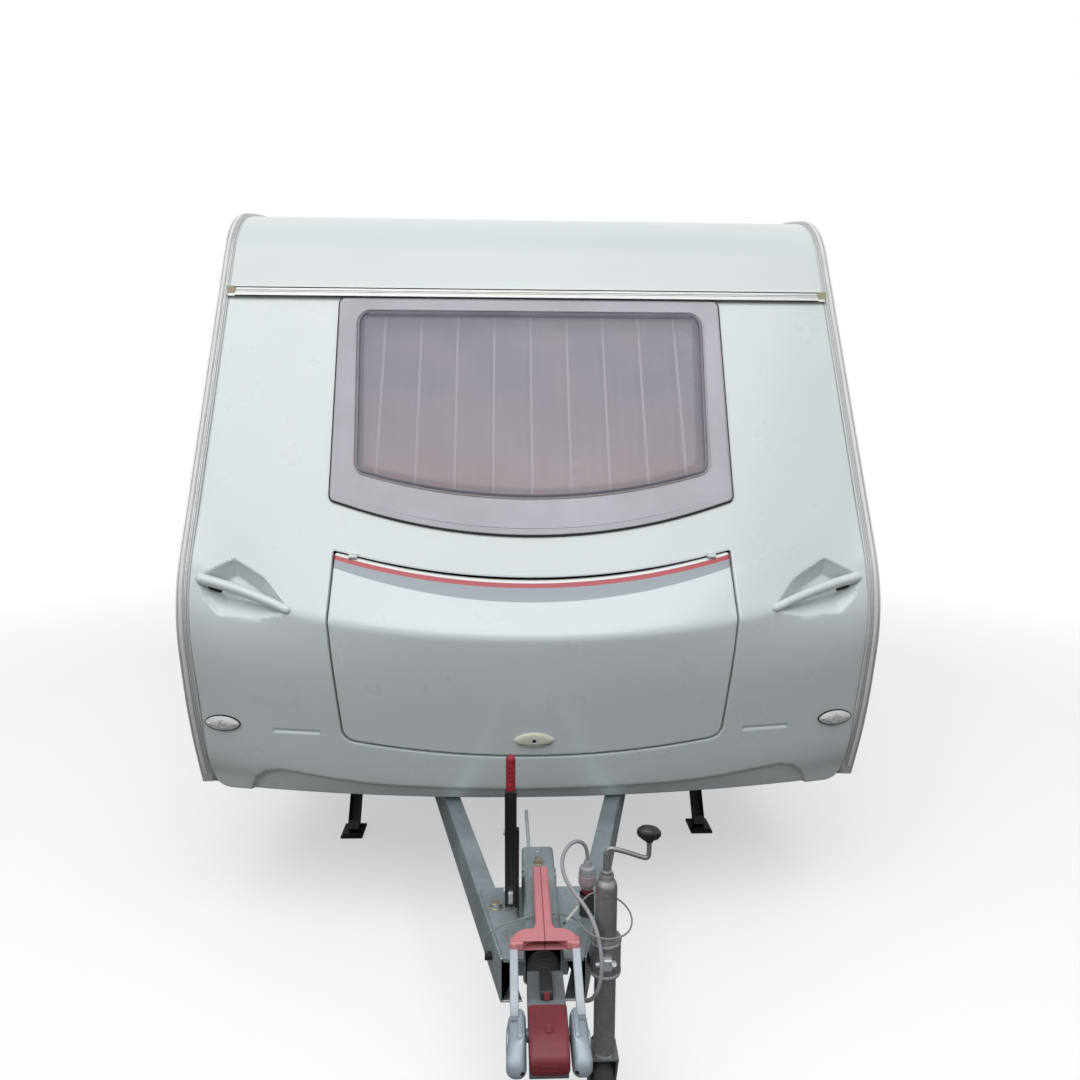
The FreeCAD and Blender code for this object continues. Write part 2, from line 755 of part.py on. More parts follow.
def cross_channel(x0, x1, y):
    outer = block(x0, x1, y - cross_width / 2, y + cross_width / 2,
                  chassis_top_z - cross_height, chassis_top_z)
    return outer.cut(block(x0 - overrun, x1 + overrun, y - cross_width / 2 + rail_web, far,
                           chassis_top_z - cross_height + rail_web, chassis_top_z - rail_web))


rail_outer_x = rail_x + rail_width / 2
cross = []
for y in cross_y:
    cross.append(cross_channel(rail_outer_x, cross_reach, y))
    cross.append(mirrored(cross[-1]))
cross.append(cross_channel(-rail_x + rail_width / 2, rail_x - rail_width / 2, cross_y[1]))
inner_cross_half = arm_bend_x - arm_width / 2
cross.append(cross_channel(-inner_cross_half, inner_cross_half, arm_end_y - cross_width))

# Axle: tube, brackets, trailing arms with stub axles, brake drums
axle_tube_radius = 45
axle_trail = 150
axle_tube_drop = 8
axle_tube_y = axle_y - axle_trail
axle_tube_half = 740 * across_share
axle_tube_z = chassis_bottom_z - axle_tube_radius - axle_tube_drop
bracket_width = 80
bracket_reach = 75
trail_arm_width = 38
trail_arm_radius = 42
drum_radius = 125
drum_width = 62
stub_radius = 20
disc_x = 30
rim_sheet = 8
drum_inner_x = wheel_x - disc_x / 2 - rim_sheet - drum_width
tube = rod(axle_tube_radius, (-axle_tube_half, axle_tube_y, axle_tube_z),
           (axle_tube_half, axle_tube_y, axle_tube_z))
bracket = block(rail_x - bracket_width / 2, rail_x + bracket_width / 2, axle_tube_y - bracket_reach,
                axle_tube_y + bracket_reach, axle_tube_z, chassis_bottom_z)
arm_x0 = axle_tube_half
arm_x1 = arm_x0 + trail_arm_width
swing = side_prism([
    (axle_tube_y - trail_arm_radius, axle_tube_z - trail_arm_radius, trail_arm_radius / 2),
    (axle_y + trail_arm_radius, tyre_radius - trail_arm_radius, trail_arm_radius / 2),
    (axle_y + trail_arm_radius, tyre_radius + trail_arm_radius, trail_arm_radius / 2),
    (axle_tube_y - trail_arm_radius, axle_tube_z + trail_arm_radius, trail_arm_radius / 2),
], arm_x0, arm_x1)
stub = rod(stub_radius, (arm_x0, axle_y, tyre_radius), (drum_inner_x, axle_y, tyre_radius))
side_parts = [bracket, swing, stub]
parts["axle"] = solid_sum([tube] + side_parts + [mirrored(s) for s in side_parts])

# Road wheels: drum, steel rim and tyre turn together
rim_lip = 12
rim_width = 150
vent_hole_radius = 14
vent_ring_radius = 118
vent_count = 12
bolt_radius = 9
bolt_ring_radius = 56
bolt_count = 5
hub_cap_radius = 34
hub_cap_length = 36
tyre_shoulder = 34


def turned(profile, x_centre):
    """Revolve (x, radius, corner radius) points about the wheel's own axle."""
    wire = rounded_wire([(x_centre + x, axle_y, tyre_radius + r, c) for x, r, c in profile])
    return Part.Face(wire).revolve(Vector(0, axle_y, tyre_radius), Vector(1, 0, 0), 360)


half_rim = rim_width / 2
rim_floor = rim_radius - rim_sheet
barrel = turned([
    (-half_rim, rim_radius + rim_lip, 0),
    (-half_rim + rim_sheet, rim_radius + rim_lip, 0),
    (-half_rim + 2 * rim_sheet, rim_radius, 0),
    (half_rim - 2 * rim_sheet, rim_radius, 0),
    (half_rim - rim_sheet, rim_radius + rim_lip, 0),
    (half_rim, rim_radius + rim_lip, 0),
    (half_rim, rim_floor, 0),
    (-half_rim, rim_floor, 0),
], wheel_x)
disc_line = [
    (disc_x, rim_floor + rim_sheet / 2),
    (disc_x, vent_ring_radius - 2 * vent_hole_radius),
    (-disc_x / 2, bolt_ring_radius + 2 * bolt_radius),
    (-disc_x / 2, 0),
]
disc = turned([(x, r, 0) for x, r in disc_line]
              + [(x - rim_sheet, r, 0) for x, r in reversed(disc_line)], wheel_x)
for i in range(vent_count):
    angle = 2 * math.pi * (i + 0.5) / vent_count
    y = axle_y + vent_ring_radius * math.cos(angle)
    z = tyre_radius + vent_ring_radius * math.sin(angle)
    disc = disc.cut(rod(vent_hole_radius, (wheel_x - half_rim, y, z), (wheel_x + half_rim, y, z)))
hub_x = wheel_x - disc_x / 2
rim_pieces = [barrel, disc, rod(hub_cap_radius, (hub_x - rim_sheet / 2, axle_y, tyre_radius),
                                (hub_x + hub_cap_length, axle_y, tyre_radius))]
for i in range(bolt_count):
    angle = 2 * math.pi * i / bolt_count
    y = axle_y + bolt_ring_radius * math.cos(angle)
    z = tyre_radius + bolt_ring_radius * math.sin(angle)
    rim_pieces.append(rod(bolt_radius, (hub_x - rim_sheet / 2, y, z), (hub_x + 2 * bolt_radius, y, z)))
rim = solid_sum(rim_pieces)
tyre_half = tyre_width / 2
bead_half = half_rim - 2 * rim_sheet - seat_gap
tyre = turned([
    (-bead_half, rim_radius + seat_gap, 0),
    (-tyre_half, (rim_radius + tyre_radius) / 2, tyre_shoulder),
    (-tyre_half + tyre_shoulder / 2, tyre_radius, tyre_shoulder / 2),
    (tyre_half - tyre_shoulder / 2, tyre_radius, tyre_shoulder / 2),
    (tyre_half, (rim_radius + tyre_radius) / 2, tyre_shoulder),
    (bead_half, rim_radius + seat_gap, 0),
], wheel_x)
drum = rod(drum_radius, (drum_inner_x + seat_gap, axle_y, tyre_radius),
           (hub_x - rim_sheet, axle_y, tyre_radius))
rim = solid_sum([rim, drum])
parts["wheel_rim_left"] = rim
parts["wheel_rim_right"] = mirrored(rim)
parts["tyre_left"] = tyre
parts["tyre_right"] = mirrored(tyre)

# Corner steadies: pivot place, foot place
steady_x = 690 * across_share
steady_pivot_drop = 30
steady_pivot_z = chassis_top_z - cross_height - steady_pivot_drop
steady_run = 226
steady_clear = 4
steady_width = 44
steady_thick = 34
steady_sheet = 4
steady_pin = 8
steady_foot_length = 110
steady_foot_width = 84
steady_foot_thick = 10
front_steady_y = cross_y[0]
rear_steady_y = cross_y[1]
bracket_gap = 1


def steady(pivot_y, towards):
    """One leg, from its pivot down to its foot plate; towards is -1 for the front, +1 for the rear."""
    foot_y = pivot_y + towards * steady_run
    foot_top = steady_clear + steady_foot_thick
    length = math.hypot(steady_run, steady_pivot_z - foot_top)
    leg = block(-steady_width / 2, steady_width / 2, -steady_thick / 2, steady_thick / 2,
                -length, steady_thick / 2)
    hollow = block(-steady_width / 2 + steady_sheet, steady_width / 2 - steady_sheet, -steady_thick,
                   steady_thick / 2 - steady_sheet, -length + steady_thick, -steady_thick)
    leg = leg.cut(hollow)
    angle = math.degrees(math.atan2(towards * steady_run, steady_pivot_z - foot_top))
    leg.rotate(Vector(0, 0, 0), Vector(1, 0, 0), angle)
    leg.translate(Vector(steady_x, pivot_y, steady_pivot_z))
    leg = leg.cut(block(0, far, -far, far, -far, steady_clear))
    foot = block(steady_x - steady_foot_width / 2, steady_x + steady_foot_width / 2,
                 foot_y - steady_foot_length / 2, foot_y + steady_foot_length / 2,
                 steady_clear, foot_top)
    pin = rod(steady_pin, (steady_x - steady_width / 2 - steady_sheet - bracket_gap, pivot_y, steady_pivot_z),
              (steady_x + steady_width / 2 + steady_sheet + bracket_gap, pivot_y, steady_pivot_z))
    return solid_sum([leg, foot, pin])


def steady_bracket(pivot_y):
    """Two cheeks under the cross member that carry the leg's pin."""
    cheeks = []
    for side in (-1, 1):
        inner = steady_x + side * (steady_width / 2 + bracket_gap)
        outer = inner + side * steady_sheet
        low, high = min(inner, outer), max(inner, outer)
        plate = side_prism([
            (pivot_y - steady_thick, chassis_top_z - cross_height, 0),
            (pivot_y + steady_thick, chassis_top_z - cross_height, 0),
            (pivot_y + steady_thick / 2, steady_pivot_z - steady_thick / 2, steady_sheet),
            (pivot_y - steady_thick / 2, steady_pivot_z - steady_thick / 2, steady_sheet),
        ], low, high)
        cheeks.append(plate.cut(rod(steady_pin + seat_gap, (low - overrun, pivot_y, steady_pivot_z),
                                    (high + overrun, pivot_y, steady_pivot_z))))
    return cheeks


brackets = steady_bracket(front_steady_y) + steady_bracket(rear_steady_y)
brackets += [mirrored(plate) for plate in brackets]
parts["cross_members"] = solid_sum(cross + brackets)
front_leg = steady(front_steady_y, -1)
rear_leg = steady(rear_steady_y, 1)
parts["steady_front_left"] = front_leg
parts["steady_front_right"] = mirrored(front_leg)
parts["steady_rear_left"] = rear_leg
parts["steady_rear_right"] = mirrored(rear_leg)

# Overrun coupling: top plate, housing, draw shaft, head with ball socket
plate_half_rear = 150
plate_half_front = 88
plate_thick = 8
plate_setback = 275
plate_length = 285
plate_y0 = tip_y + plate_setback
plate_y1 = plate_y0 + plate_length
plate_bolt_radius = 13
plate_bolt_height = 11
plate_bolt_inset = 85
plate_bolt_y = plate_y1 - plate_bolt_inset
plate_bolt_x = 108
housing_half = 42
housing_top_z = 474
housing_bottom_z = 352
housing_setback = 312
housing_length = 388
housing_y0 = tip_y + housing_setback
housing_y1 = housing_y0 + housing_length
housing_radius = 10
shaft_radius = 25
shaft_z = 402
gaiter_radius = 38
gaiter_pitch = 15
ball_radius = 25
ball_y = tip_y + 92
ball_z = 386
head_half = 38
head_top_z = 446
head_bottom_z = 352
head_y0 = tip_y + 30
head_y1 = tip_y + 240
cheek_inner = 43
cheek_outer = 78
cheek_y0 = tip_y + 6
cheek_y1 = tip_y + 124
cheek_z0 = 356
cheek_z1 = 440
bumper_gap = 0.3

plate = plan_prism(symmetric([
    (plate_half_front, plate_y0, 0),
    (plate_half_rear, plate_y1, 0),
]), arm_top_z, arm_top_z + plate_thick)
plate_notch = gaiter_radius + running_gap
plate = plate.cut(block(-plate_notch, plate_notch, plate_y0, housing_y0, 0, far))
bolts = [rod(plate_bolt_radius, (side * plate_bolt_x, plate_bolt_y, arm_top_z + plate_thick),
             (side * plate_bolt_x, plate_bolt_y, arm_top_z + plate_thick + plate_bolt_height))
         for side in (-1, 1)]
housing = front_prism(rectangle(-housing_half, housing_half, housing_bottom_z, housing_top_z, housing_radius),
                      housing_y0, housing_y1)
shaft_bore = rod(shaft_radius + seat_gap, (0, housing_y0 - overrun, shaft_z),
                 (0, housing_y1 + overrun, shaft_z))
parts["overrun_housing"] = housing.cut(shaft_bore)
tie_length = 30
tie = block(-arm_front_x, arm_front_x, housing_y0 + tie_length, housing_y0 + 2 * tie_length,
            housing_bottom_z, arm_top_z)
tie = tie.cut([housing, both_sides(arm_plan(-arm_width / 2, arm_width, 0, far))])
plug_x = 110
plug_y = tip_y + 440
holder_height = 62
plug_z0 = arm_top_z + holder_height
holder_radius = 17
holder = rod(holder_radius, (plug_x, plug_y, arm_top_z), (plug_x, plug_y, plug_z0 - seat_gap))
parts["drawbar_plate"] = solid_sum([plate, tie, holder] + bolts).cut(housing)
draw_shaft = rod(shaft_radius, (0, head_y1, shaft_z), (0, housing_y1, shaft_z))

gaiter_count = round((housing_y0 - head_y1 - 2 * seat_gap) / gaiter_pitch)
gaiter_line = [(shaft_radius + seat_gap, head_y1 + seat_gap, 0)]
for i in range(gaiter_count):
    gaiter_line.append((gaiter_radius - gaiter_pitch / 3, head_y1 + seat_gap + i * gaiter_pitch, 0))
    gaiter_line.append((gaiter_radius, head_y1 + (i + 0.5) * gaiter_pitch, 0))
gaiter_line.append((gaiter_radius - gaiter_pitch / 3, housing_y0 - seat_gap, 0))
gaiter_line.append((shaft_radius + seat_gap, housing_y0 - seat_gap, 0))
gaiter_wire = rounded_wire([(x, y, shaft_z, r) for x, y, r in gaiter_line])
gaiter = Part.Face(gaiter_wire).revolve(Vector(0, 0, shaft_z), Vector(0, 1, 0), 360)

head_slope = 26
head_radius = 12
head_crown_radius = 40
head_nose_radius = 30
head_crown = [
    (head_y1, shaft_z + gaiter_radius, head_radius),
    ((head_y0 + head_y1) / 2, head_top_z, head_crown_radius),
    (head_y0, head_top_z - head_slope / 2, head_nose_radius),
]
head = side_prism([
    (head_y0, head_bottom_z, head_radius),
    (head_y1, head_bottom_z + head_slope, head_radius),
] + head_crown, -head_half, head_half)
socket = Part.makeSphere(ball_radius + seat_gap, Vector(0, ball_y, ball_z)).fuse(
    rod(ball_radius + seat_gap, (0, ball_y, ball_z), (0, ball_y, 0)))
parts["coupling_head"] = solid_sum([head, draw_shaft]).cut(socket)

cheek_nose = 26
cheek_toe_radius = 30
cheek_brow_radius = 24
cheek = side_prism([
    (cheek_y0, cheek_z0, cheek_toe_radius),
    (cheek_y1, cheek_z0 + cheek_nose / 2, cheek_brow_radius),
    (cheek_y1, cheek_z1, cheek_nose / 2),
    (cheek_y0 + cheek_nose, cheek_z1, cheek_toe_radius),
    (cheek_y0, (cheek_z0 + cheek_z1) / 2, cheek_brow_radius),
], cheek_inner, cheek_outer)
cheek = cheek.fuse(rod(ball_radius / 2, (head_half, ball_y, shaft_z), (cheek_inner, ball_y, shaft_z)))

bumper_sheet = 9
bumper_drop = 16
bumper_foot_z = head_bottom_z + 34
bumper_face_z = head_bottom_z + 66
bumper_brow_y = tip_y + 34
bumper_brow_z = head_top_z - 2
nose = side_prism([
    (tip_y, bumper_foot_z, head_radius),
    (head_y0 - bumper_gap, bumper_foot_z, 0),
    (head_y0 - bumper_gap, head_top_z - bumper_drop, head_nose_radius),
    (cheek_y1 - bumper_drop, head_top_z + bumper_gap, 0),
    (cheek_y1 - bumper_drop, head_top_z + bumper_sheet, bumper_sheet / 2),
    (bumper_brow_y, bumper_brow_z, head_crown_radius),
    (tip_y, bumper_face_z, head_nose_radius),
], -head_half - bumper_gap, head_half + bumper_gap)
parts["coupling_bumper"] = nose.cut(parts["coupling_head"])

# Stabiliser handle: fork arms from the cheeks, yoke and grip, lying closed over the housing
fork_x = 66
fork_foot_inset = 18
fork_foot_y = cheek_y1 - fork_foot_inset
fork_foot_z = 444
fork_head_y = tip_y + 238
fork_head_z = 504
fork_half_width = 8
fork_half_height = 5
yoke_reach = 34
yoke_thick = 20
yoke_half = 72
grip_half = 20
grip_y1 = tip_y + 500
grip_thick = 22
grip_rise = 16
fork = side_prism([
    (fork_foot_y - yoke_thick, fork_foot_z - fork_half_height, 0),
    (fork_foot_y, fork_foot_z - fork_half_height, 0),
    (fork_head_y, fork_head_z - fork_half_height, 0),
    (fork_head_y, fork_head_z + fork_half_height, 0),
    (fork_foot_y, fork_foot_z + fork_half_height, 0),
    (fork_foot_y - yoke_thick, fork_foot_z + fork_half_height, 0),
], fork_x - fork_half_width, fork_x + fork_half_width).cut(cheek)
parts["stabiliser_arms"] = both_sides(cheek.fuse(fork))
yoke_corner = 4
yoke_shoulder = 12
grip_corner = 9
yoke = plan_prism(symmetric([
    (yoke_half, fork_head_y - yoke_reach / 2, yoke_corner),
    (yoke_half - yoke_shoulder / 2, fork_head_y + yoke_reach / 2, yoke_shoulder),
    (yoke_half - 2 * yoke_shoulder, fork_head_y + yoke_reach, yoke_shoulder),
    (grip_half, fork_head_y + yoke_reach, yoke_corner),
    (grip_half, grip_y1, grip_corner),
]), 0, far)
underside = fork_head_z - yoke_thick / 2
grip_slab = side_prism([
    (fork_head_y - yoke_reach, underside, 0),
    (fork_head_y + yoke_reach, underside, head_nose_radius),
    (grip_y1 + overrun, underside + grip_rise, 0),
    (grip_y1 + overrun, underside + grip_rise + grip_thick, 0),
    (fork_head_y + yoke_reach, underside + grip_thick, head_nose_radius),
    (fork_head_y - yoke_reach, underside + yoke_thick, 0),
], -yoke_half, yoke_half)
yoke_arch = rod(yoke_half - grip_thick, (0, fork_head_y - yoke_reach, 0), (0, fork_head_y - yoke_reach, far))
grip = grip_slab.common(yoke).cut([yoke_arch, both_sides(fork)])
parts["stabiliser_grip"] = grip

indicator_half = 13
indicator_y0 = tip_y + 128
indicator_y1 = tip_y + 220
indicator_thick = 16
indicator = block(-indicator_half, indicator_half, indicator_y0, indicator_y1,
                  0, head_top_z + indicator_thick)
indicator = indicator.cut(side_prism([(head_y0, 0, 0), (head_y1, 0, 0)] + head_crown, -far, far))
parts["shaft_gaiter"] = group([gaiter, indicator])

# Handbrake: toothed quadrant, lever pulled up, red grip
brake_x = -72
brake_y = tip_y + 500
brake_base_z = arm_top_z + plate_thick
lever_top_z = 756
lever_lean = 66
lever_foot_width = 58
lever_head_width = 26
lever_half_thick = 14
strut_top_z = 650
strut_lean_share = 0.6
grip_top_z = 842
grip_radius = 13
quadrant_radius = 78
quadrant_sheet = 6
quadrant_x = brake_x + lever_half_thick + bumper_gap
lever_corner = 7
lever_face = side_prism([
    (brake_y - lever_foot_width / 2, brake_base_z + seat_gap, lever_corner),
    (brake_y + lever_foot_width / 2, brake_base_z + seat_gap, lever_corner),
    (brake_y - lever_lean + lever_head_width / 2, lever_top_z, lever_corner),
    (brake_y - lever_lean - lever_head_width / 2, lever_top_z, lever_corner),
], brake_x - lever_half_thick, brake_x + lever_half_thick)
quadrant = rod(quadrant_radius, (quadrant_x, brake_y, brake_base_z),
               (quadrant_x + quadrant_sheet, brake_y, brake_base_z))
quadrant = quadrant.cut(block(-far, far, -far, far, -far, brake_base_z))
strut_y = brake_y - strut_lean_share * lever_lean
strut = side_prism([
    (brake_y - lever_foot_width / 2, brake_base_z, 0),
    (brake_y + lever_foot_width / 2, brake_base_z, 0),
    (strut_y + lever_head_width / 2, strut_top_z, lever_corner),
    (strut_y - lever_head_width / 2, strut_top_z, lever_corner),
], quadrant_x, quadrant_x + quadrant_sheet)
pivot = rod(grip_radius / 2, (brake_x - grip_radius, brake_y, brake_base_z + lever_foot_width / 2),
            (quadrant_x + quadrant_sheet, brake_y, brake_base_z + lever_foot_width / 2))
parts["handbrake_lever"] = solid_sum([lever_face, pivot, quadrant, strut]).cut(housing)
grip_y = brake_y - lever_lean
handbrake_grip = rod(grip_radius, (brake_x, grip_y, lever_top_z + seat_gap), (brake_x, grip_y, grip_top_z))
parts["handbrake_grip"] = handbrake_grip.makeFillet(
    grip_radius / 2, [e for e in handbrake_grip.Edges if e.BoundBox.ZMin > grip_top_z - seat_gap])

# Jockey wheel: clamp on the drawbar, outer tube, crank, inner tube, fork and wheel
jockey_x = 137
jockey_y = tip_y + 290
jockey_tube_radius = 24
jockey_top_z = 622
jockey_bottom_z = 206
inner_tube_radius = 20
inner_tube_top_z = 560
collar_radius = 16
collar_height = 12
shoulder_z = 600
shoulder_radius = 20
bore_top_z = 580
clamp_radius = 34
clamp_z0 = 396
clamp_z1 = 480
clamp_lug = 32
crank_stub_radius = 8
crank_z = 684
crank_radius = 6
crank_reach = 92
crank_pin_z = 706
knob_radius = 19
knob_height = 26
jockey_wheel_radius = 92
jockey_wheel_width = 46
jockey_trail = 44
fork_sheet = 5
fork_clear = 4
crown_z = 196
hub_radius = 17
jockey_axle_radius = 7


def upright(radius, z0, z1):
    return rod(radius, (jockey_x, jockey_y, z0), (jockey_x, jockey_y, z1))


def turned_upright(line, x, y):
    wire = rounded_wire([(x + r, y, z, c) for r, z, c in line])
    return Part.Face(wire).revolve(Vector(x, y, 0), Vector(0, 0, 1), 360)


lug = block(jockey_x - clamp_radius, jockey_x + clamp_radius, jockey_y,
            jockey_y + clamp_radius + 2 * clamp_lug, clamp_z0, arm_top_z - arm_web)
lug = lug.cut(arm_plan(-arm_front_x, arm_width / 2, 0, far))
clamp = solid_sum([upright(clamp_radius, clamp_z0, clamp_z1), lug]).cut(
    upright(jockey_tube_radius + seat_gap, 0, far))
parts["jockey_clamp"] = max(clamp.cut(plate).Solids, key=lambda solid: solid.Volume)
bore_radius = inner_tube_radius + seat_gap
outer_tube_line = [
    (bore_radius, jockey_bottom_z, 0),
    (jockey_tube_radius, jockey_bottom_z, 0),
    (jockey_tube_radius, shoulder_z, shoulder_radius),
    (collar_radius, jockey_top_z - collar_height / 2, 0),
    (collar_radius, jockey_top_z + collar_height / 2, 0),
    (0, jockey_top_z + collar_height / 2, 0),
    (0, bore_top_z, 0),
    (bore_radius, bore_top_z, 0),
]
parts["jockey_outer_tube"] = turned_upright(outer_tube_line, jockey_x, jockey_y)
crank_end_x = jockey_x + crank_reach
crank_pin = (crank_end_x, jockey_y, crank_z - 4 * crank_radius)
crank = solid_sum([
    upright(crank_stub_radius, jockey_top_z + collar_height / 2 + seat_gap, crank_z),
    Part.makeSphere(crank_stub_radius, Vector(jockey_x, jockey_y, crank_z)),
    rod(crank_radius, (jockey_x, jockey_y, crank_z), crank_pin),
    Part.makeSphere(crank_radius, Vector(*crank_pin)),
    rod(crank_radius, crank_pin, (crank_end_x, jockey_y, crank_pin_z)),
])
knob = rod(knob_radius, (crank_end_x, jockey_y, crank_pin_z + seat_gap),
           (crank_end_x, jockey_y, crank_pin_z + knob_height))
parts["jockey_crank"] = group([crank, knob.makeFillet(knob_radius / 3, [e for e in knob.Edges if e.Closed])])
parts["jockey_inner_tube"] = upright(inner_tube_radius, crown_z + seat_gap, inner_tube_top_z)

axle_place = jockey_y + jockey_trail
fork_half = jockey_wheel_width / 2 + fork_clear
crown = block(jockey_x - fork_half - fork_sheet, jockey_x + fork_half + fork_sheet,
              jockey_y - inner_tube_radius, axle_place, crown_z - fork_sheet, crown_z)
blade = side_prism([
    (jockey_y - inner_tube_radius, crown_z, fork_clear),
    (axle_place, crown_z, fork_clear),
    (axle_place + hub_radius, jockey_wheel_radius, hub_radius - fork_sheet),
    (axle_place, jockey_wheel_radius - hub_radius - fork_sheet, hub_radius - fork_sheet),
    (axle_place - hub_radius, jockey_wheel_radius, hub_radius - fork_sheet),
], jockey_x + fork_half, jockey_x + fork_half + fork_sheet)
other_blade = blade.copy()
other_blade.translate(Vector(-2 * fork_half - fork_sheet, 0, 0))
axle_pin = rod(jockey_axle_radius, (jockey_x - fork_half - fork_sheet, axle_place, jockey_wheel_radius),
               (jockey_x + fork_half + fork_sheet, axle_place, jockey_wheel_radius))
parts["jockey_fork"] = solid_sum([crown, blade, other_blade, axle_pin])


def wheel_ring(outer, inner, half_width):
    return pipe(outer, inner, (jockey_x - half_width, axle_place, jockey_wheel_radius),
                (jockey_x + half_width, axle_place, jockey_wheel_radius))


jockey_rim_radius = 58
jockey_tyre = wheel_ring(jockey_wheel_radius, jockey_rim_radius, jockey_wheel_width / 2)
jockey_tyre = jockey_tyre.makeFillet(
    jockey_wheel_width / 4, [e for e in jockey_tyre.Edges
                             if e.Closed and abs(e.Curve.Radius - jockey_wheel_radius) < seat_gap])
parts["jockey_wheel"] = solid_sum([
    jockey_tyre,
    wheel_ring(jockey_rim_radius, jockey_rim_radius - 2 * fork_sheet, jockey_wheel_width / 2 - fork_sheet),
    wheel_ring(jockey_rim_radius - fork_sheet, jockey_axle_radius + seat_gap, fork_sheet),
    wheel_ring(hub_radius, jockey_axle_radius + seat_gap, jockey_wheel_width / 2 + fork_clear / 2),
])

# Plug parked in its holder, tip down
plug_length = 66
plug_z1 = plug_z0 + plug_length
plug_radius = 21
plug_tip_radius = 12
gland_radius = 11
gland_height = 16
plug_taper_share = 0.86
gland_taper_share = 0.7
plug_edge = 3
plug_shoulder = 7
plug_line = [
    (0, plug_z0, 0),
    (plug_tip_radius, plug_z0, plug_edge),
    (plug_tip_radius, plug_z0 + plug_tip_radius, 0),
    (plug_radius, plug_z0 + 2 * plug_tip_radius, plug_shoulder),
    (plug_taper_share * plug_radius, plug_z1, plug_shoulder),
    (gland_radius, plug_z1 + gland_height / 3, plug_edge),
    (gland_taper_share * gland_radius, plug_z1 + gland_height, 0),
    (0, plug_z1 + gland_height, 0),
]


parts["plug"] = turned_upright(plug_line, plug_x, plug_y)

# Cables: the towing lead from the plug to its grommet in the drawbar, and the breakaway cable,
# each place being x, the distance behind the coupling's tip, and z
lead_radius = 4.5
lead_places = [
    (110, 440, 576), (110, 440, 602), (95, 430, 630), (68, 410, 638), (45, 386, 618),
    (46, 362, 586), (66, 338, 560), (92, 304, 544), (110, 266, 524), (119, 240, 492),
    (122, 222, 456), (116, 210, 418), (104, 218, 384), (91, 242, 360), (82, 270, 346),
    (79, 300, 342.3), (79, 326, 342.3),
]
breakaway_radius = 2
breakaway_places = [
    (-128, 380, 384), (-132, 374, 414), (-122, 368, 442), (-96, 366, 460), (-60, 368, 472),
    (-18, 370, 482), (24, 366, 487), (58, 346, 496), (78, 304, 508), (88, 256, 516),
    (113, 222, 519), (150, 220, 518), (182, 244, 517), (196, 284, 520), (190, 324, 527),
    (166, 347, 537), (132, 354, 546), (103, 345, 548), (86, 331, 536),
]
arc_share = 0.45
lead_route = [(x, tip_y + y, z) for x, y, z in lead_places]
breakaway_route = [(x, tip_y + y, z) for x, y, z in breakaway_places]


def cable(name, route, radius):
    """Tube of straight runs joined by tangent arcs, each as large as its runs allow."""
    points = [Vector(*point) for point in route]
    edges, here, radii = [], points[0], []
    for before, corner, after in zip(points, points[1:], points[2:]):
        back, ahead = before - corner, after - corner
        reach = arc_share * min(back.Length, ahead.Length)
        half = back.getAngle(ahead) / 2
        bend = reach * math.tan(half)
        radii.append(round(bend))
        start = corner + Vector(back).normalize() * reach
        end = corner + Vector(ahead).normalize() * reach
        inward = (Vector(back).normalize() + Vector(ahead).normalize()).normalize()
        middle = corner + inward * (bend / math.sin(half) - bend)
        edges.append(Part.LineSegment(here, start).toShape())
        edges.append(Part.Arc(start, middle, end).toShape())
        here = end
    edges.append(Part.LineSegment(here, points[-1]).toShape())
    path = Part.Wire(edges)
    ring = Part.Wire(Part.Circle(points[0], points[1] - points[0], radius).toShape())
    tube = path.makePipeShell([ring], True, False)
    section = math.pi * radius ** 2
    print(name, "length", round(path.Length), "radii", radii, "volume share",
          round(tube.Volume / (section * path.Length), 4))
    return tube


parts["electric_cable"] = cable("electric cable", lead_route, lead_radius)
parts["breakaway_cable"] = cable("breakaway cable", breakaway_route, breakaway_radius)

grommet_radius = 12
grommet_length = 26
grommet_end = Vector(*lead_route[-1])
grommet = rod(grommet_radius, grommet_end, grommet_end + Vector(0, grommet_length, 0))

eye_radius = 9
eye_sheet = 4
eye_z = breakaway_route[0][2]
eye_place = Vector(*breakaway_route[0])
arm_edge_x = -arm_front_x - arm_width / 2
eye_bar = block(eye_place.x - eye_radius / 2, arm_edge_x, eye_place.y - eye_radius,
                eye_place.y + eye_radius, eye_z - eye_radius - eye_sheet, eye_z - seat_gap)
eye_bar = eye_bar.cut(mirrored(arm_plan(-arm_front_x, arm_width / 2, 0, far)))
parts["cable_mounts"] = group([grommet, eye_bar])

clip_length = 62
clip_half = 12
clip_sheet = 5
clip_bar = 4
clip_start = Vector(*breakaway_route[-1])
clip_way = (clip_start - Vector(*breakaway_route[-2])).normalize()
clip = block(-clip_half, clip_half, -clip_sheet / 2, clip_sheet / 2, 0, clip_length)
clip = clip.makeFillet(clip_half - clip_bar / 4, [e for e in clip.Edges if e.BoundBox.XLength < seat_gap
                                                  and e.BoundBox.ZLength < seat_gap])
clip = clip.cut(block(-clip_half + clip_bar, clip_half - clip_bar, -clip_sheet, clip_sheet,
                      2 * clip_bar, clip_length - 2 * clip_bar))
clip.Placement = FreeCAD.Placement(clip_start, FreeCAD.Rotation(Vector(0, 0, 1), clip_way))
parts["breakaway_clip"] = clip

# Curtains: one behind each window, hung close to the wall
curtain_thick = 14
curtain_lap = 40
front_curtain_foot = 14
front_curtain_outline = bowed_outline(
    window_top_half + curtain_lap, window_foot_half + curtain_lap,
    window_top_z, window_corner_z - front_curtain_foot, window_bow, window_corner_radius)
front_curtain = front_feature(front_curtain_outline, -panel_thickness - seat_gap, curtain_thick)


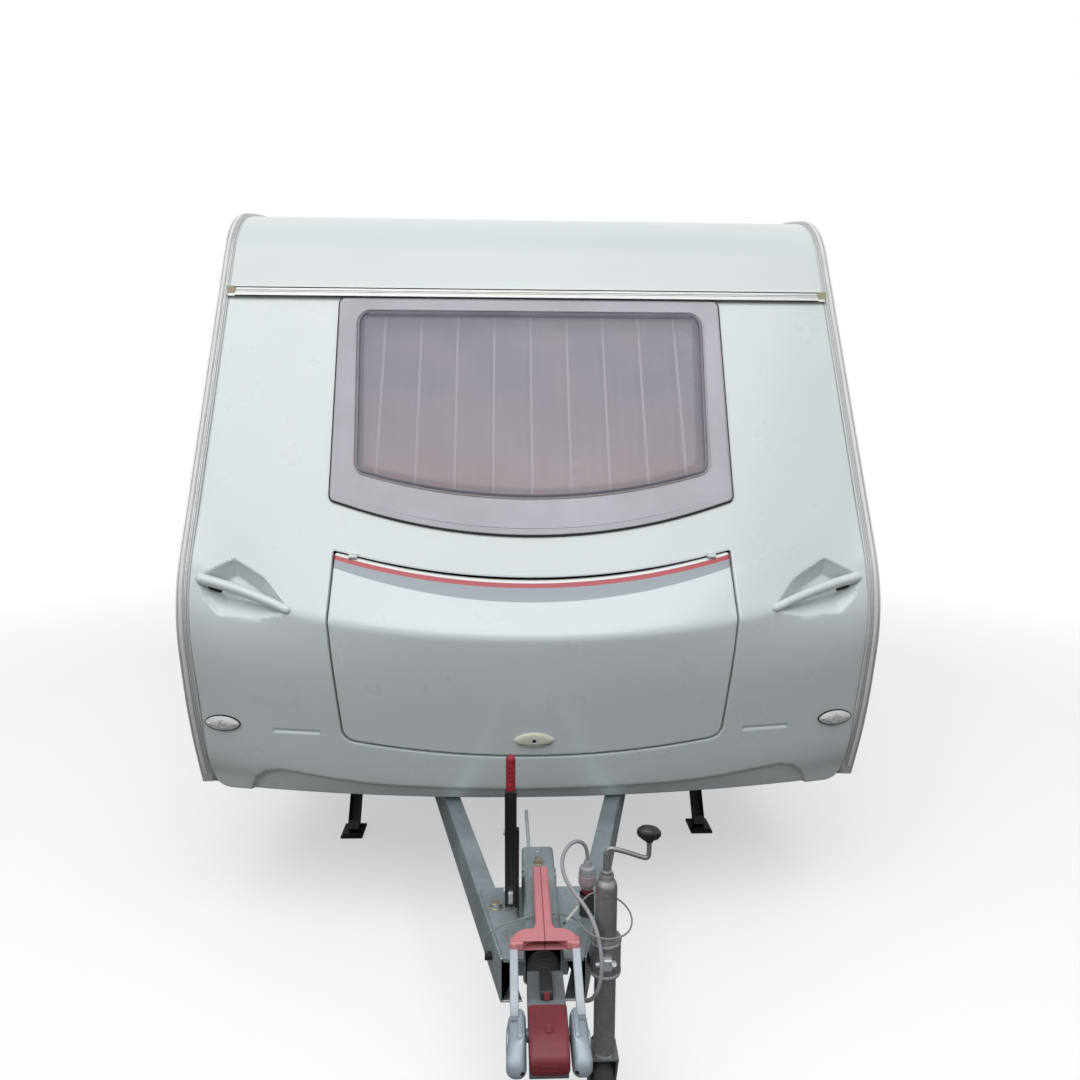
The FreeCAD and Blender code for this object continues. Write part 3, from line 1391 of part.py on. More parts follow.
def side_curtains(places):
    return [block(inner_half_width - seat_gap - curtain_thick, inner_half_width - seat_gap,
                  y0 - curtain_lap, y1 + curtain_lap, z0 - curtain_lap, z1 + curtain_lap)
            for y0, y1, z0, z1 in places]


tail_curtain_outline = rectangle(
    -tail_window_half - curtain_lap, tail_window_half + curtain_lap,
    tail_window_z0 - curtain_lap, tail_window_z1 + curtain_lap, curtain_lap)
tail_curtain = tail_prism(tail_curtain_outline, middle_y).common(
    tail_skin(-roof_thickness - seat_gap, curtain_thick))
parts["curtains"] = group([front_curtain, tail_curtain] + side_curtains(off_windows)
                          + [mirrored(sheet) for sheet in side_curtains(kerb_windows)])

for name, shape in parts.items():
    shape.exportStep("parts/" + name + ".step")
    print(name, len(shape.Solids), round(shape.Volume / 1e6, 3), shape.isValid())
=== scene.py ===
import itertools
import json
import math

import bmesh
import bpy
import numpy as np
from mathutils import Matrix, Vector
from mathutils.bvhtree import BVHTree
from mathutils.geometry import delaunay_2d_cdt


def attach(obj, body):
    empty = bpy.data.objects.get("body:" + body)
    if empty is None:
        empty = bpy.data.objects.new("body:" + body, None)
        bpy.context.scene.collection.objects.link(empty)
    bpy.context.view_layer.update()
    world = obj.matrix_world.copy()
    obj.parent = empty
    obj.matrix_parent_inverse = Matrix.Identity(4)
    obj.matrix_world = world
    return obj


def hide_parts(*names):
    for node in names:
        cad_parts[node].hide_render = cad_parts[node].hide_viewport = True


# The caravan's looks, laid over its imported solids. Metres, X across, Y to the tail, Z up
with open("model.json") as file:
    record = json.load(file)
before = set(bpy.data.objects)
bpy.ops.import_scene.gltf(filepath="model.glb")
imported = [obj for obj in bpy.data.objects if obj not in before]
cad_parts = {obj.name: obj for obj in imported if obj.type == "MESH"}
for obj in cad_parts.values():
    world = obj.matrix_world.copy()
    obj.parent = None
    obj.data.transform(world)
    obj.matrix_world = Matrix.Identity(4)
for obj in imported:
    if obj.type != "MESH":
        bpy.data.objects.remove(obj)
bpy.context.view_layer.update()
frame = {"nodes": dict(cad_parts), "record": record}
nodes = frame["nodes"]
slots = {entry["node"]: entry["material_slot"] for entry in frame["record"]["subparts"]}
bodyOf = {name: body for body, names in frame["record"]["behaviour"]["bodies"].items() for name in names}
origin, sideways, lengthways, upwards = (0, 0, 0), (1, 0, 0), (0, 1, 0), (0, 0, 1)


# Node helpers
def feed(tree, node, values):
    for key, value in values.items():
        if isinstance(value, bpy.types.NodeSocket):
            tree.links.new(value, node.inputs[key])
        else:
            node.inputs[key].default_value = value


def add(tree, kind, values=None, **settings):
    made = tree.nodes.new(kind)
    for key, value in settings.items():
        setattr(made, key, value)
    feed(tree, made, values or {})
    return made


def place(tree, stretch=(1, 1, 1)):
    spot = add(tree, "ShaderNodeTexCoord").outputs["Object"]
    return add(tree, "ShaderNodeMapping", {"Vector": spot, "Scale": stretch}).outputs[0]


def noiseOf(tree, scale, detail=4, stretch=(1, 1, 1), rough=0.55):
    return add(tree, "ShaderNodeTexNoise", {
        "Vector": place(tree, stretch), "Scale": scale, "Detail": detail, "Roughness": rough}).outputs["Fac"]


def ramp(tree, fac, low, high, start=0.0, end=1.0):
    return add(tree, "ShaderNodeMapRange", {
        "Value": fac, "From Min": low, "From Max": high, "To Min": start, "To Max": end}).outputs[0]


def mixed(tree, fac, first, second, blend="MIX"):
    return add(tree, "ShaderNodeMix", {0: fac, 6: first, 7: second}, data_type="RGBA",
               blend_type=blend).outputs[2]


def solve(tree, operation, first, second=0.0, third=0.0):
    values = {0: first, 1: second}
    if operation == "MULTIPLY_ADD":
        values[2] = third
    return add(tree, "ShaderNodeMath", values, operation=operation).outputs[0]


def bumped(tree, height, strength, distance):
    return add(tree, "ShaderNodeBump", {
        "Height": height, "Strength": strength, "Distance": distance}).outputs[0]


def blank(name):
    made = bpy.data.materials.new(name)
    made.use_nodes = True
    made.node_tree.nodes.clear()
    return made, made.node_tree


def rgba(colour):
    return (*colour, 1.0)


finishes = {}


# Finish with uneven tone and gloss, fine bump, and dirt gathered in streaks
def material(name, colour, roughness, metallic=0.0, spread=0.08, grain=6.0, stretch=(1, 1, 1), wear=0.06,
             bump=0.0, bumpScale=400.0, coat=0.0, dirt=None, dirtAmount=0.0, sheen=0.0, marks=None):
    made, tree = blank(name)
    tone = noiseOf(tree, grain, 5, stretch)
    dark = rgba([c * (1 - spread) for c in colour])
    light = rgba([min(1, c * (1 + spread)) for c in colour])
    base = mixed(tree, ramp(tree, tone, 0.3, 0.7), dark, light)
    if dirt:
        streak = noiseOf(tree, 9, 5, (1.0, 1.0, 0.12))
        patch = noiseOf(tree, 2.2, 3)
        amount = solve(tree, "MULTIPLY", ramp(tree, streak, 0.5, 0.78),
                       ramp(tree, patch, 0.35, 0.7, 0, dirtAmount))
        base = mixed(tree, amount, base, rgba(dirt))
    if marks:
        base = marks(tree, base)
    gloss = ramp(tree, noiseOf(tree, grain * 3, 3, stretch), 0.2, 0.8, max(0.02, roughness - wear),
                 roughness + wear)
    values = {"Base Color": base, "Roughness": gloss, "Metallic": metallic}
    if bump:
        fine = noiseOf(tree, bumpScale, 3, stretch)
        values["Normal"] = bumped(tree, fine, bump, 0.0004)
    shader = add(tree, "ShaderNodeBsdfPrincipled", values)
    feed(tree, shader, {"Coat Weight": coat, "Coat Roughness": 0.12, "Sheen Weight": sheen})
    add(tree, "ShaderNodeOutputMaterial", {"Surface": shader.outputs[0]})
    finishes[name] = made


def axes(tree):
    spot = add(tree, "ShaderNodeTexCoord").outputs["Object"]
    return add(tree, "ShaderNodeSeparateXYZ", {0: spot}).outputs


# Inside a band of values: 1, with soft ends
def band(tree, value, low, high, soft=0.0006):
    return solve(tree, "MULTIPLY", ramp(tree, value, low - soft, low + soft),
                 ramp(tree, value, high + soft, high - soft))


stripes = dict(edge=1.1396, rise=0.2222, white=0.006, red=0.0195, crease=1.081, creaseRise=0.2665)


# Stripes along the lid's upper edge: white, red, and a grey band down to the upper crease
def lidStripes(tree, base):
    x, _, z = axes(tree)[:3]
    square = solve(tree, "MULTIPLY", x, x)
    below = solve(tree, "SUBTRACT", solve(tree, "MULTIPLY_ADD", square, stripes["rise"], stripes["edge"]), z)
    crease = solve(tree, "MULTIPLY_ADD", square, stripes["creaseRise"], stripes["crease"])
    over = solve(tree, "SUBTRACT", z, crease)
    grey = solve(tree, "MULTIPLY", ramp(tree, below, stripes["red"] - 0.001, stripes["red"]),
                 ramp(tree, over, -0.0005, 0.0015))
    base = mixed(tree, grey, base, (0.285, 0.315, 0.355, 1))
    red = band(tree, below, stripes["white"], stripes["red"])
    base = mixed(tree, red, base, (0.42, 0.006, 0.022, 1))
    return mixed(tree, ramp(tree, below, stripes["white"] + 0.0006, stripes["white"] - 0.0006), base,
                 (0.80, 0.80, 0.78, 1))


def gripSeam(tree, base):
    x = axes(tree)[0]
    middle = ramp(tree, solve(tree, "ABSOLUTE", x), 0.0014, 0.0005)
    return mixed(tree, middle, base, (0.16, 0.02, 0.03, 1))


# Painted highlight: a lighter line where each pleat turns; painted shade darkens and cools the cloth towards
# the top
def pleatHighlightsAndShade(tree, base):
    x, _, z = axes(tree)[:3]
    at = solve(tree, "MULTIPLY_ADD", x, 1 / 0.124, 0.5)
    share = solve(tree, "FRACT", solve(tree, "ADD", at, 40.0))
    near = solve(tree, "ABSOLUTE", solve(tree, "SUBTRACT", share, 0.5))
    line = ramp(tree, near, 0.045, 0.02)
    cloud = ramp(tree, noiseOf(tree, 5, 3), 0.25, 0.6, 0.4, 1.0)
    # Painted shade: the cloth darker and cooler towards the top
    upperShade = solve(tree, "MULTIPLY", ramp(tree, z, 1.46, 1.74), cloud)
    base = mixed(tree, upperShade, base, (0.42, 0.41, 0.46, 1))
    # Painted highlight along the turn of each pleat
    return mixed(tree, line, base, (0.86, 0.82, 0.80, 1))


shellLook = dict(colour=(0.665, 0.70, 0.705), roughness=0.3, spread=0.01, grain=2.5, coat=0.35)
gripLook = dict(colour=(0.60, 0.22, 0.235), roughness=0.42, spread=0.08, grain=10, bump=0.1)
material("front_moulding", **shellLook)
material("lid_striped", marks=lidStripes, **shellLook)
material("wall_paint", (0.66, 0.69, 0.69), 0.36, spread=0.02, grain=2.0, coat=0.2, bump=0.05, bumpScale=60)
material("latch_cream", (0.72, 0.68, 0.58), 0.4, grain=40)
material("lamp_lens", (0.78, 0.78, 0.75), 0.2, coat=0.8, grain=60)
material("lamp_red", (0.42, 0.015, 0.02), 0.2, coat=0.8, grain=30)
material("trim_dark", (0.03, 0.03, 0.032), 0.55, bump=0.2, bumpScale=900)
material("cover_plastic", (0.66, 0.665, 0.63), 0.45, spread=0.03, bump=0.1, bumpScale=700)
material("rail_aluminium", (0.60, 0.61, 0.58), 0.34, metallic=0.25, spread=0.04)
material("floor_board", (0.20, 0.15, 0.10), 0.7, spread=0.2, grain=4, stretch=(1, 0.1, 1), bump=0.3,
         bumpScale=80)
material("rim_paint", (0.48, 0.49, 0.50), 0.38, metallic=0.7, dirt=(0.2, 0.16, 0.12), dirtAmount=0.6)
material("tyre_rubber", (0.018, 0.018, 0.018), 0.78, spread=0.3, bump=0.3, bumpScale=500,
         dirt=(0.12, 0.11, 0.1), dirtAmount=0.5)
material("steady_black", (0.012, 0.012, 0.014), 0.42, spread=0.3, grain=20, bump=0.2,
         dirt=(0.14, 0.10, 0.07), dirtAmount=0.7)
material("coupling_paint", (0.19, 0.205, 0.22), 0.42, metallic=0.35, spread=0.1, grain=12, bump=0.35,
         bumpScale=350, dirt=(0.12, 0.10, 0.08), dirtAmount=0.5)
material("gaiter_rubber", (0.015, 0.015, 0.017), 0.6, bump=0.2)
material("bumper_red", (0.165, 0.016, 0.026), 0.5, spread=0.12, grain=14, bump=0.25, bumpScale=600)
material("grip_red", **gripLook)
material("grip_seamed", marks=gripSeam, **gripLook)
material("lever_black", (0.012, 0.012, 0.014), 0.35, spread=0.3, bump=0.15)
material("jockey_rubber", (0.03, 0.03, 0.03), 0.75, spread=0.25, bump=0.3)
material("cable_sheath", (0.33, 0.33, 0.35), 0.5, grain=30)
material("wire_sheath", (0.24, 0.25, 0.24), 0.45, grain=60)
material("plug_plastic", (0.40, 0.33, 0.34), 0.55, grain=30, bump=0.2)
# Curtains carry painted pleat highlights and painted shade towards the top
material("curtain_fabric", (0.66, 0.58, 0.52), 0.9, marks=pleatHighlightsAndShade, spread=0.05, grain=3, bump=0.4,
         bumpScale=900, sheen=0.2)


# Galvanised steel: cells of slightly different tone, dulled by weather
def zinc(name, colour, roughness, fleck=55.0, metallic=0.75):
    made, tree = blank(name)
    cells = add(tree, "ShaderNodeTexVoronoi", {"Vector": place(tree), "Scale": fleck, "Randomness": 1.0})
    cell = add(tree, "ShaderNodeSeparateColor", {"Color": cells.outputs["Color"]}).outputs[0]
    cloud = noiseOf(tree, 7, 6)
    mark = noiseOf(tree, 30, 4)
    tone = solve(tree, "MULTIPLY_ADD", cell, 0.3, cloud)
    dark = rgba([c * 0.84 for c in colour])
    light = rgba([min(1, c * 1.14) for c in colour])
    base = mixed(tree, ramp(tree, tone, 0.35, 0.95), dark, light)
    base = mixed(tree, ramp(tree, mark, 0.62, 0.75, 0, 0.5), base, rgba((0.20, 0.16, 0.12)))
    shader = add(tree, "ShaderNodeBsdfPrincipled", {
        "Base Color": base, "Metallic": metallic,
        "Roughness": ramp(tree, tone, 0.35, 0.95, roughness - 0.08, roughness + 0.12),
        "Normal": bumped(tree, cloud, 0.25, 0.0006)})
    add(tree, "ShaderNodeOutputMaterial", {"Surface": shader.outputs[0]})
    finishes[name] = made


material("rubber_seal", (0.012, 0.012, 0.013), 0.6, spread=0.2, bump=0.2)
# Painted shade: dark band just inside the front pane's rim
material("pane_band", (0.17, 0.165, 0.20), 0.4, spread=0.15, grain=12)
material("seam_grey", (0.30, 0.31, 0.31), 0.5, spread=0.1)
material("rail_insert", (0.24, 0.23, 0.21), 0.55, spread=0.1)
material("brass_zinc", (0.36, 0.32, 0.24), 0.4, metallic=0.7, spread=0.15, grain=60, dirt=(0.16, 0.11, 0.07),
         dirtAmount=0.8)
material("end_cap", (0.46, 0.42, 0.30), 0.5, spread=0.08, grain=40)
material("grip_crimson", (0.30, 0.010, 0.028), 0.42, spread=0.12, grain=30, bump=0.15)
material("cheek_silver", (0.38, 0.43, 0.48), 0.48, metallic=0.3, spread=0.08, grain=15, bump=0.15,
         bumpScale=600, dirt=(0.10, 0.09, 0.08), dirtAmount=0.6)
material("silver_bar", (0.44, 0.48, 0.52), 0.42, metallic=0.25, spread=0.06, grain=20,
         dirt=(0.2, 0.18, 0.16), dirtAmount=0.5)
material("bead_pale", (0.45, 0.43, 0.44), 0.5)
material("front_bead", (0.72, 0.725, 0.70), 0.35, spread=0.03, grain=20)
material("amber_lens", (0.62, 0.20, 0.02), 0.2, coat=0.8)
# Painted shade: near-black standing in for the shade inside holes and slots
material("dark_hollow", (0.006, 0.006, 0.007), 0.7)
zinc("chassis_steel", (0.36, 0.38, 0.39), 0.5, fleck=170)
zinc("drawbar_steel", (0.40, 0.45, 0.47), 0.46, fleck=170)
zinc("fork_steel", (0.58, 0.61, 0.64), 0.4, fleck=150, metallic=0.5)
zinc("jockey_steel", (0.27, 0.28, 0.265), 0.36, fleck=200, metallic=0.7)


# Aged tinted pane: part haze, part see-through, with a gloss skin over both
def acrylic(name, tint, haze, clear, roughness=0.16):
    made, tree = blank(name)
    cloud = noiseOf(tree, 3.0, 5)
    film = mixed(tree, ramp(tree, cloud, 0.3, 0.7), rgba([c * 0.88 for c in haze]),
                 rgba([c * 1.1 for c in haze]))
    dull = add(tree, "ShaderNodeBsdfPrincipled", {
        "Base Color": film, "Roughness": ramp(tree, cloud, 0.2, 0.8, roughness - 0.05, roughness + 0.1)})
    dull.inputs["Coat Weight"].default_value = 0.5
    see = add(tree, "ShaderNodeBsdfTransparent", {"Color": rgba(tint)})
    share = ramp(tree, cloud, 0.2, 0.8, clear + 0.025, clear - 0.025)
    both = add(tree, "ShaderNodeMixShader", {0: share, 1: dull.outputs[0], 2: see.outputs[0]})
    add(tree, "ShaderNodeOutputMaterial", {"Surface": both.outputs[0]})
    finishes[name] = made


acrylic("window_acrylic", (0.80, 0.75, 0.80), (0.40, 0.375, 0.43), 0.60, 0.12)
acrylic("window_rim", (0.80, 0.74, 0.80), (0.47, 0.43, 0.49), 0.22, 0.14)
acrylic("rooflight_acrylic", (0.9, 0.92, 0.92), (0.6, 0.61, 0.60), 0.35)
print("materials made")


# Mesh helpers. A piece takes the body and slot of the solid it dresses or sits on
def belongs(obj, node, replaced=()):
    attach(obj, bodyOf[node])
    if replaced:
        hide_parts(*replaced)


def finish(obj, node, replaced=(), finishName=None, angle=35):
    mesh = obj.data
    mesh.materials.clear()
    mesh.materials.append(finishes[finishName or slots[node]])
    mesh.polygons.foreach_set("use_smooth", [True] * len(mesh.polygons))
    mesh.set_sharp_from_angle(angle=math.radians(angle))
    belongs(obj, node, replaced)


def linked(name, mesh):
    obj = bpy.data.objects.new(name, mesh)
    bpy.context.scene.collection.objects.link(obj)
    return obj


def fromFaces(name, points, faces):
    mesh = bpy.data.meshes.new(name)
    mesh.from_pydata([tuple(p) for p in points], [], faces)
    mesh.validate()
    mesh.update()
    return linked(name, mesh)


def pairs(points):
    return np.array([tuple(p) for p in points])


# Unit direction across a flat line at each point
def crosswise(before, after):
    tangent = after - before
    tangent /= np.maximum(np.hypot(*tangent.T), 1e-9)[:, None]
    return np.stack([-tangent[:, 1], tangent[:, 0]], axis=1)


def closedCrosswise(line):
    return crosswise(np.roll(line, 1, axis=0), np.roll(line, -1, axis=0))


# Closed outline through flat corners (a, b, radius), with arcs cut into steps
def rounded(corners, step=0.01):
    flat = [Vector(c[:2]) for c in corners]
    made = []
    for i, corner in enumerate(corners):
        here = flat[i]
        back, ahead = (flat[i - 1] - here).normalized(), (flat[(i + 1) % len(flat)] - here).normalized()
        radius = corner[2]
        half = back.angle(ahead) / 2
        if radius <= 0:
            made.append(here)
            continue
        reach = radius / math.tan(half)
        centre = here + (back + ahead).normalized() * (radius / math.sin(half))
        first, last = here + back * reach, here + ahead * reach
        sweep = (first - centre).angle_signed(last - centre)
        count = max(3, int(abs(sweep) * radius / step), int(abs(math.degrees(sweep)) / 8))
        for k in range(count + 1):
            turn = -sweep * k / count
            made.append(centre + Matrix.Rotation(turn, 2) @ (first - centre))
    return made


def symmetric(half):
    return half + [(-a, b, r) for a, b, r in reversed(half) if a > 0]


def rectangle(a0, a1, b0, b1):
    return [(a0, b0), (a1, b0), (a1, b1), (a0, b1)]


def softBox(a0, a1, b0, b1, radius):
    return [(*corner, radius) for corner in rectangle(a0, a1, b0, b1)]


# Shapes are pairs of points and faces; made() joins several into one piece
def rings(sections, closed=True, caps=True, loop=False):
    sections = [np.asarray(section, float) for section in sections]
    count = len(sections[0])
    points = np.concatenate(sections)
    faces = []
    spans = len(sections) if loop else len(sections) - 1
    for i in range(spans):
        a, b = i * count, ((i + 1) % len(sections)) * count
        for k in range(count if closed else count - 1):
            n = (k + 1) % count
            faces.append((a + k, a + n, b + n, b + k))
    if caps and closed and not loop:
        faces.append(tuple(range(count))[::-1])
        faces.append(tuple((len(sections) - 1) * count + k for k in range(count)))
    return points, faces


def made(name, shapes):
    points, faces, start = [], [], 0
    for p, f in shapes:
        points.append(np.asarray(p, float))
        faces += [tuple(start + k for k in face) for face in f]
        start += len(p)
    obj = fromFaces(name, np.concatenate(points), faces)
    bm = bmesh.new()
    bm.from_mesh(obj.data)
    bmesh.ops.remove_doubles(bm, verts=bm.verts, dist=1e-6)
    bmesh.ops.recalc_face_normals(bm, faces=bm.faces)
    bm.to_mesh(obj.data)
    bm.free()
    return obj


# Cosine and sine of equal turns around a circle
def wayRound(count):
    return [(math.cos(2 * math.pi * k / count), math.sin(2 * math.pi * k / count)) for k in range(count)]


def basis(direction, up=upwards):
    w = Vector(direction).normalized()
    u = Vector(up).cross(w)
    if u.length < 1e-4:
        u = Vector(sideways).cross(w) if abs(w.x) < 0.9 else Vector(lengthways).cross(w)
    u.normalize()
    return np.array(u), np.array(w.cross(u)), np.array(w)


# Solid of revolution: (radius, height) points about a direction
def lathe(profile, base, direction, steps=40, squash=(1, 1), turn=0.0, loop=False):
    u, v, w = basis(direction)
    angles = 2 * np.pi * np.arange(steps) / steps + turn
    ring = np.cos(angles)[:, None] * u * squash[0] + np.sin(angles)[:, None] * v * squash[1]
    return rings([np.array(base) + max(r, 1e-5) * ring + h * w for r, h in profile], loop=loop)


# Prism of a flat outline with rounded-over edges; the outline lies in the plane of u and v
def slab(outline, start, u, v, w, low, high, edge=0.001, steps=3):
    line = pairs(outline)
    after = np.roll(line, -1, axis=0)
    area = (line[:, 0] * after[:, 1] - after[:, 0] * line[:, 1]).sum()
    inward = closedCrosswise(line) * (1 if area > 0 else -1)
    u, v, w, start = (np.asarray(a, float) for a in (u, v, w, start))
    sections = []
    stops = [(edge * (1 - math.sin(t)), low + edge * (1 - math.cos(t)))
             for t in np.linspace(0, math.pi / 2, steps)]
    stops += [(edge * (1 - math.sin(t)), high - edge * (1 - math.cos(t)))
              for t in np.linspace(math.pi / 2, 0, steps)]
    for inset, depth in stops:
        flat = line + inward * inset
        sections.append(start + flat[:, :1] * u + flat[:, 1:] * v + depth * w)
    return rings(sections)


def block(low, high, edge=0.0015, axis=2):
    order = [(0, 1, 2), (1, 2, 0), (2, 0, 1)][(axis + 1) % 3]
    unit = np.eye(3)
    a, b, c = order
    corner = min(edge * 1.5, (high[a] - low[a]) / 2.2, (high[b] - low[b]) / 2.2)
    outline = rounded(softBox(low[a], high[a], low[b], high[b], corner), 0.01)
    return slab(outline, origin, unit[a], unit[b], unit[c], low[c], high[c], edge)


# Block left or right of the middle, by its distances from it
def sideBlock(side, near, far, edge):
    low, high = sorted((side * near[0], side * far[0]))
    return block((low, *near[1:]), (high, *far[1:]), edge)


# Round or flattened section carried along a path; radii may change on the way
def pipe(path, radius, steps=20, squash=1.0, up=upwards, sections=None, ends=True):
    path = np.asarray(path, float)
    radius = np.broadcast_to(np.asarray(radius, float), (len(path),))
    tangent = np.gradient(path, axis=0)
    tangent /= np.linalg.norm(tangent, axis=1)[:, None]
    side = np.asarray(up, float)
    rows = []
    if sections is None:
        angles = 2 * np.pi * np.arange(steps) / steps
        sections = np.stack([np.cos(angles), np.sin(angles) * squash], axis=1)
    for p, t, r in zip(path, tangent, radius):
        side = side - t * (side @ t)
        side /= np.linalg.norm(side)
        other = np.cross(t, side)
        rows.append(p + r * (sections[:, :1] * other + sections[:, 1:] * side))
    return rings(rows, caps=ends)


def domes(path, radius, count=6):
    path = [np.asarray(p, float) for p in path]
    first, last = path[0] - path[1], path[-1] - path[-2]
    first, last = first / np.linalg.norm(first), last / np.linalg.norm(last)
    turns = np.linspace(0, math.pi / 2, count)
    start = [path[0] + first * radius * math.sin(t) for t in turns[:0:-1]]
    end = [path[-1] + last * radius * math.sin(t) for t in turns[1:]]
    radii = [max(radius * math.cos(t), 1e-4) for t in turns[:0:-1]] + [radius] * len(path) + [
        max(radius * math.cos(t), 1e-4) for t in turns[1:]]
    return start + path + end, radii


# Smooth curve through points
def through(points, count=40):
    points = np.asarray(points, float)
    t = np.concatenate([[0], np.cumsum(np.linalg.norm(np.diff(points, axis=0), axis=1))])
    padded = np.concatenate([[2 * points[0] - points[1]], points, [2 * points[-1] - points[-2]]])
    rows = []
    for at in np.linspace(0, t[-1], count):
        i = min(int(np.searchsorted(t, at, side="right")) - 1, len(points) - 2)
        k = (at - t[i]) / (t[i + 1] - t[i])
        a, b, c, d = padded[i:i + 4]
        rows.append(0.5 * (2 * b + (c - a) * k + (2 * a - 5 * b + 4 * c - d) * k * k
                           + (3 * b - a - 3 * c + d) * k ** 3))
    return np.array(rows)


def bolt(base, direction, across=0.019, height=0.012, washer=0.013):
    radius = across / math.sqrt(3)
    head = lathe([(radius * 0.98, 0.0025), (radius, 0.003), (radius, height - 0.002),
                  (radius * 0.86, height)], base, direction, 6)
    ring = lathe([(washer, 0), (washer, 0.0018), (washer * 0.94, 0.0025)], base, direction, 28)
    tip = lathe([(radius * 0.5, height - 0.001), (radius * 0.5, height + 0.0012),
                 (radius * 0.4, height + 0.002)], base, direction, 16)
    return [head, ring, tip]


def mirroredX(shape):
    points = np.array(shape[0], float)
    points[:, 0] *= -1
    return points, [tuple(reversed(f)) for f in shape[1]]


def bothSides(shapes):
    return list(shapes) + [mirroredX(shape) for shape in shapes]


# The modifier's result becomes the piece's own mesh
def settle(obj, modifier):
    evaluated = obj.evaluated_get(bpy.context.evaluated_depsgraph_get())
    mesh = bpy.data.meshes.new_from_object(evaluated)
    obj.modifiers.remove(modifier)
    obj.data = mesh


def evened(obj):
    modifier = obj.modifiers.new("evenNormals", "WEIGHTED_NORMAL")
    modifier.keep_sharp = True
    modifier.weight = 80
    settle(obj, modifier)


def detail(name, shapes, node, finishName=None, replaced=(), even=True):
    obj = made(name, shapes)
    finish(obj, node, replaced, finishName)
    if even:
        evened(obj)


# The piece that takes a solid's place
def skin(name, shapes, node, finishName=None, even=True):
    detail(name, shapes, node, finishName, [node], even)


# A solid's own surface with its edges rounded over
def softened(name, width=0.0012, segments=2, angle=28, pieceName=None, finishName=None, wide=None, drop=None):
    node = nodes[name]
    bm = bmesh.new()
    bm.from_mesh(node.data)
    bm.transform(node.matrix_world)
    bmesh.ops.remove_doubles(bm, verts=bm.verts, dist=2e-5)
    bmesh.ops.dissolve_limit(bm, angle_limit=math.radians(0.6), verts=bm.verts, edges=bm.edges)
    if drop:
        gone = [f for f in bm.faces if drop(f)]
        bmesh.ops.delete(bm, geom=gone, context="FACES")

    def sharp(test=None):
        return [e for e in bm.edges if len(e.link_faces) == 2 and e.calc_face_angle(0) > math.radians(angle)
                and (test is None or test(e))]

    if wide:
        bmesh.ops.bevel(bm, geom=sharp(wide[0]), offset=wide[1], segments=wide[2], profile=0.5,
                        affect="EDGES", clamp_overlap=True)
    if width:
        bmesh.ops.bevel(bm, geom=sharp(), offset=width, segments=segments, profile=0.5,
                        affect="EDGES", clamp_overlap=True)
    bmesh.ops.recalc_face_normals(bm, faces=bm.faces)
    mesh = bpy.data.meshes.new(pieceName or name + "Piece")
    bm.to_mesh(mesh)
    bm.free()
    obj = linked(pieceName or name + "Piece", mesh)
    finish(obj, name, [name], finishName, angle=32)
    evened(obj)


def refine(loop, step):
    made = []
    for a, b in zip(loop, loop[1:] + loop[:1]):
        count = max(1, math.ceil((b - a).length / step))
        made += [a.lerp(b, k / count) for k in range(count)]
    return made


# Distance of each point from a closed line, positive inside it
def away(points, loop):
    p = np.asarray(points, float).reshape(-1, 2)
    a = pairs(loop)
    b = np.roll(a, -1, axis=0)
    near = np.full(len(p), 1e9)
    inside = np.zeros(len(p), bool)
    for start, end in zip(a, b):
        d = end - start
        length = max(d @ d, 1e-18)
        t = np.clip(((p - start) @ d) / length, 0, 1)
        near = np.minimum(near, np.hypot(*(p - start - t[:, None] * d).T))
        crosses = (start[1] > p[:, 1]) != (end[1] > p[:, 1])
        if abs(d[1]) > 1e-12:
            at = start[0] + (p[:, 1] - start[1]) / d[1] * d[0]
            inside ^= crosses & (p[:, 0] < at)
    return np.where(inside, near, -near)


# Front moulding: the same lines as the solid's, with its creases softened. Each line: its place back from
# the nose in the middle and at the side, its height, and how much that rises to the side
front = dict(nose=-1.834, half=1.025, toe=(0.046, 0.174, 0.438), chin=(0.009, 0.152, 0.488, 0.010),
             low=(-0.104, 0.067, 0.998, 0.09, 0.12), high=(-0.016, 0.154, 1.081, 0.28), top=(0.517, 2.052),
             bow=(0.008, 0.062), soft=0.02)
bowCurve = np.polyfit([0, 0.3, 0.55, 0.75, 0.9, 1], [0, 0.71, 1.0, 0.98, 0.52, 0], 5)


def sharpFront(x, z):
    s = (np.asarray(x) / front["half"]) ** 2
    toeY, chinY, lowY, highY = (front[key][0] + (front[key][1] - front[key][0]) * s
                                for key in ("toe", "chin", "low", "high"))
    chinZ, lowZ, highZ = (front[key][2] + front[key][3] * s for key in ("chin", "low", "high"))
    lowZ = lowZ + front["low"][4] * s ** 3
    along = np.clip((z - chinZ) / (lowZ - chinZ), 0, 1)
    out = np.clip(np.polyval(bowCurve, along), 0, None) * (front["bow"][0] + front["bow"][1] * s * s)
    below = toeY + (chinY - toeY) * (z - front["toe"][2]) / (chinZ - front["toe"][2])
    cheek = chinY + (lowY - chinY) * along - out
    crest = lowY + (highY - lowY) * (z - lowZ) / (highZ - lowZ)
    brow = highY + (front["top"][0] - highY) * (z - highZ) / (front["top"][1] - highZ)
    return front["nose"] + np.where(z < chinZ, below,
                                    np.where(z < lowZ, cheek, np.where(z < highZ, crest, brow)))


def frontY(x, z):
    x, z = np.asarray(x, float), np.asarray(z, float)
    shares = np.linspace(-1, 1, 13)
    weights = 0.5 + 0.5 * np.cos(shares * math.pi * 0.92)
    weights /= weights.sum()
    return sum(w * sharpFront(x, z + t * front["soft"]) for w, t in zip(weights, shares))


def faceForward(bm):
    bmesh.ops.recalc_face_normals(bm, faces=bm.faces)
    if sum(f.normal.y * f.calc_area() for f in bm.faces) > 0:
        bmesh.ops.reverse_faces(bm, faces=bm.faces)


